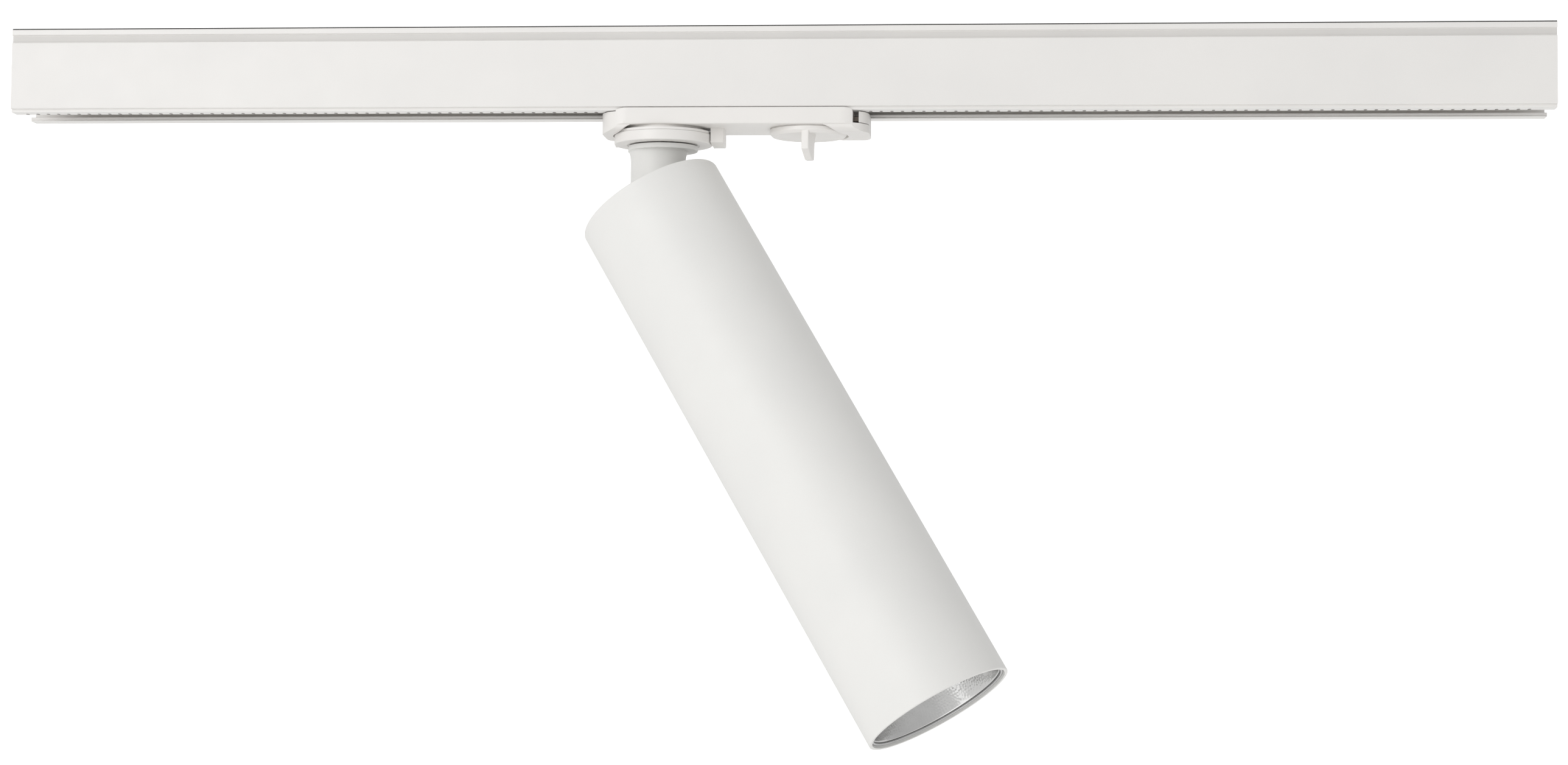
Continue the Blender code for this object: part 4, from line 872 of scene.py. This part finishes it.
def hammer_marks(radii, path, cols, rng):
    """Heights in mm of round-edged marks, on a grid of path lengths by turns."""
    pitch = 1.25
    # jittered seeds over the developed surface: (path length, part of a turn)
    seeds = []
    for along in np.arange(0, path[-1] + pitch, pitch * 0.87):
        count = max(8, int(round(math.tau * np.interp(along, path, radii) / pitch)))
        offset = rng.random()
        for k in range(count):
            seeds.append((along + rng.normal(0, 0.22),
                          (k + offset + rng.normal(0, 0.17)) / count))
    seeds = np.array(seeds)
    seeds = seeds[np.argsort(seeds[:, 0])]
    turns = np.arange(cols) / cols
    height = np.zeros((len(path), cols))
    for i, along in enumerate(path):
        low, high = np.searchsorted(seeds[:, 0], [along - 2.2, along + 2.2])
        near = seeds[low:high]
        around = np.abs(turns[:, None] - (near[:, 1] % 1.0)[None, :])
        around = np.minimum(around, 1 - around) * math.tau * radii[i]
        distance = np.sqrt(around ** 2 + (along - near[:, 0][None, :]) ** 2)
        distance.sort(axis=1)
        # zero where two marks meet, rising towards each mark's middle
        height[i] = np.clip((distance[:, 1] - distance[:, 0]) / 1.1, 0, 1)
    height = (1 - (1 - height) ** 2) * 0.085
    # the marks die out at the mouth
    height *= np.clip((path[-1] - path) / 1.2, 0, 1)[:, None]
    return height


def build_reflector():
    """Turned bowl whose inside carries hammer marks about 1.3 mm across."""
    rows, cols = 150, 560
    t = np.linspace(0, 1, rows) ** 1.15
    r = REFLECTOR_R0 + (REFLECTOR_R1 - REFLECTOR_R0) * t ** 0.62
    z = REFLECTOR_Z0 + (REFLECTOR_Z1 - REFLECTOR_Z0) * t
    dr, dz = np.gradient(r), np.gradient(z)
    length = np.hypot(dr, dz)
    normal_r, normal_z = dz / length, -dr / length      # z falls, so this faces the axis
    path = np.concatenate([[0], np.cumsum(np.hypot(np.diff(r), np.diff(z)))])
    height = hammer_marks(r, path, cols, np.random.default_rng(11))
    turns = np.arange(cols) / cols
    cosines, sines = np.cos(math.tau * turns), np.sin(math.tau * turns)
    inner_r = r[:, None] + normal_r[:, None] * height
    inner_z = z[:, None] + normal_z[:, None] * height
    inner = np.stack([inner_r * cosines, inner_r * sines, inner_z], -1)
    verts = list(inner.reshape(-1, 3))

    # rolled edge at the mouth, then the outer skin back to the throat: radius, z
    mouth = REFLECTOR_Z1
    edge = [
        (REFLECTOR_R1 + 0.12, mouth - 0.1), (REFLECTOR_R1 + 0.45, mouth - 0.16),
        (TUBE_IN - 0.6, mouth - 0.12), (TUBE_IN - 0.38, mouth + 0.05),
        (TUBE_IN - 0.35, mouth + 0.4), (TUBE_IN - 0.45, mouth + 0.75),
        (TUBE_IN - 0.7, mouth + 0.8), (28.9, mouth + 0.85),
    ]
    back = [(float(np.interp(q, t, r)) + REFLECTOR_T, float(np.interp(q, t, z)))
            for q in np.linspace(0.96, 0.0, 24)]
    for radius, level in edge + back:
        verts += [(radius * c, radius * s, level) for c, s in zip(cosines, sines)]
    # each ring joins the next, and the last joins the first
    starts = [*range(0, len(verts), cols), 0]
    faces = []
    for ring, following in zip(starts, starts[1:]):
        for k in range(cols):
            j = (k + 1) % cols
            faces.append((ring + k, ring + j, following + j, following + k))
    bowl = from_lists("reflector_bowl", [tuple(MM * x for x in v) for v in verts], faces)
    smooth(bowl, 50)
    put(bowl, "head", SILVER, "reflector_silver", "reflector")


def build_snap_ring():
    top, bottom, inner, outer = REFLECTOR_Z1 - 0.3, REFLECTOR_Z1 - 1.1, 28.7, TUBE_IN - 0.3
    profile = [(inner, top, 0.12), (outer, top, 0.12), (outer, bottom, 0.2), (inner, bottom, 0.3)]
    snap = lathe("snap_ring", fillet(profile, 4), closed=True, steps=256)
    boolean(snap, box("snap_gap", (20, 40), (-1.5, 1.5), (MOUTH_Z - 2, MOUTH_Z + 6)))
    put(clean(snap, 30), "head", STEEL, "steel", "retaining_ring")


def build_led():
    """Ceramic board with a phosphor disc below it."""
    base_z = HEAT_SINK_BOT
    board = prism("led_board", [rounded_rect(-9.5, 9.5, -9.5, 9.5, 1.0, 5)],
                  base_z - 2.6, base_z - 1.1, low=0.15)
    put(clean(board, 30), "head", CERAMIC, "led_ceramic", "led_module")
    profile = [(0, base_z - 2.65), (7.2, base_z - 2.65), (7.2, base_z - 4.9, 0.7),
               (6.0, base_z - 4.75, 0.4), (0, base_z - 4.75)]
    disc = lathe("led_disc", fillet(profile, 4, closed=False), steps=64)
    put(clean(disc, 30), "head", PHOSPHOR, "led_ceramic")


for build in (build_track, build_liners, build_base, build_latch, build_lever, build_ring,
              build_stem, build_tube, build_cap, build_cap_screws, build_reflector,
              build_snap_ring, build_led):
    build()

# =============================================================================
# CAD pieces that stay, by material
# =============================================================================
KEPT = (
    (COPPER, "conductor_phase_1 conductor_phase_2 conductor_phase_3 conductor_neutral "
             "conductor_earth contact_phase_1 contact_phase_2 contact_phase_3 contact_neutral"),
    (BRASS, "earth_contact threaded_nipple"),
    (CORE_BLACK, "adapter_core thrust_washer friction_washer_near friction_washer_far"),
    (HOUSING, "terminal_block led_driver led_holder"),
    (STEEL, "latch_spring locking_cam swivel_lock_nut spring_washer tilt_bolt tilt_lock_nut "
            "driver_clip_1 driver_clip_2 holder_screw_1 holder_screw_2"),
    (DARK_STEEL, "latch_plate"),
    (CABLE, "supply_cable driver_input_lead led_lead"),
    (ALUMINIUM, "hinge_bracket heat_sink"),
    (LINER, "thermal_pad"),
)
for material, names in KEPT:
    for name in names.split():
        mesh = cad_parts[name].data
        mesh.materials.clear()
        mesh.materials.append(material)
        for face in mesh.polygons:
            face.material_index = 0

# =============================================================================
# Stage, light and camera, in metres
# =============================================================================
FLOOR_Z, FLOOR_HALF = -1.385, 14.0
CURVE_Y, CURVE_R = 4.2, 2.6         # where the floor starts to curve up into the backdrop


def build_floor():
    # y, z
    sweep = [(-9.0, FLOOR_Z), (CURVE_Y, FLOOR_Z)]
    sweep += [(CURVE_Y + CURVE_R * math.sin(a), FLOOR_Z + CURVE_R * (1 - math.cos(a)))
              for a in [math.radians(degrees) for degrees in range(6, 91, 6)]]
    sweep += [(CURVE_Y + CURVE_R, 7.0)]
    work = bmesh.new()
    rows = [[work.verts.new((x, y, z)) for x in (-FLOOR_HALF, FLOOR_HALF)] for y, z in sweep]
    for low, high in zip(rows, rows[1:]):
        work.faces.new((low[0], low[1], high[1], high[0]))
    floor = from_bmesh("floor", work)
    for face in floor.data.polygons:
        face.use_smooth = True
    floor.data.materials.append(pale_floor("pale_floor", (0.90, 0.90, 0.895)))


def area_light(name, location, target, size, power):
    light = bpy.data.lights.new(name, "AREA")
    light.shape = "RECTANGLE"
    light.size, light.size_y = size
    light.energy = power
    aim = Vector(target) - Vector(location)
    obj = new_object(name, light)
    obj.location = location
    obj.rotation_euler = aim.to_track_quat("-Z", "Y").to_euler()


def build_world():
    """Soft white surroundings, brighter on the left than on the right."""
    world = bpy.data.worlds.new("studio")
    scene.world = world
    world.use_nodes = True
    tree = world.node_tree
    background = tree.nodes["Background"]
    direction = node(tree, "ShaderNodeTexCoord")
    split = node(tree, "ShaderNodeSeparateXYZ")
    tree.links.new(direction.outputs["Generated"], split.inputs["Vector"])
    strength = spread(tree, split.outputs["X"], low=0.80, high=0.60,
                      from_low=-0.9, from_high=0.9)
    tree.links.new(strength, background.inputs["Strength"])
    background.inputs["Color"].default_value = (1.0, 1.0, 1.0, 1)


def build_camera():
    place = (0.15372, -1.29901, -0.22623)
    yaw, pitch, roll = -0.07865, 0.06106, 0.0082    # radians; yaw turns from +Y towards +X
    data = bpy.data.cameras.new("camera")
    data.sensor_width = 36.0
    data.sensor_fit = "HORIZONTAL"
    data.lens = 72.287888
    data.clip_start = 0.01
    data.clip_end = 60.0
    camera = bpy.data.objects.new("camera", data)
    forward = Vector((math.sin(yaw) * math.cos(pitch), math.cos(yaw) * math.cos(pitch),
                      math.sin(pitch)))
    level = Vector((math.cos(yaw), -math.sin(yaw), 0.0))
    upright = level.cross(forward)
    right = level * math.cos(roll) + upright * math.sin(roll)
    up = upright * math.cos(roll) - level * math.sin(roll)
    rows = [(right[i], up[i], -forward[i], place[i]) for i in range(3)]
    camera.matrix_world = Matrix((*rows, (0, 0, 0, 1)))
    scene.collection.objects.link(camera)
    scene.camera = camera


build_floor()
area_light("key", location=(-0.95, -1.75, 0.45), target=(0.02, 0, -0.1), size=(1.1, 1.1),
           power=11.0)
area_light("below", location=(0.0, -1.0, -1.2), target=(0.05, 0, -0.1), size=(1.6, 1.0),
           power=2.5)
build_world()
build_camera()
scene.view_settings.view_transform = "Standard"

bpy.context.view_layer.update()
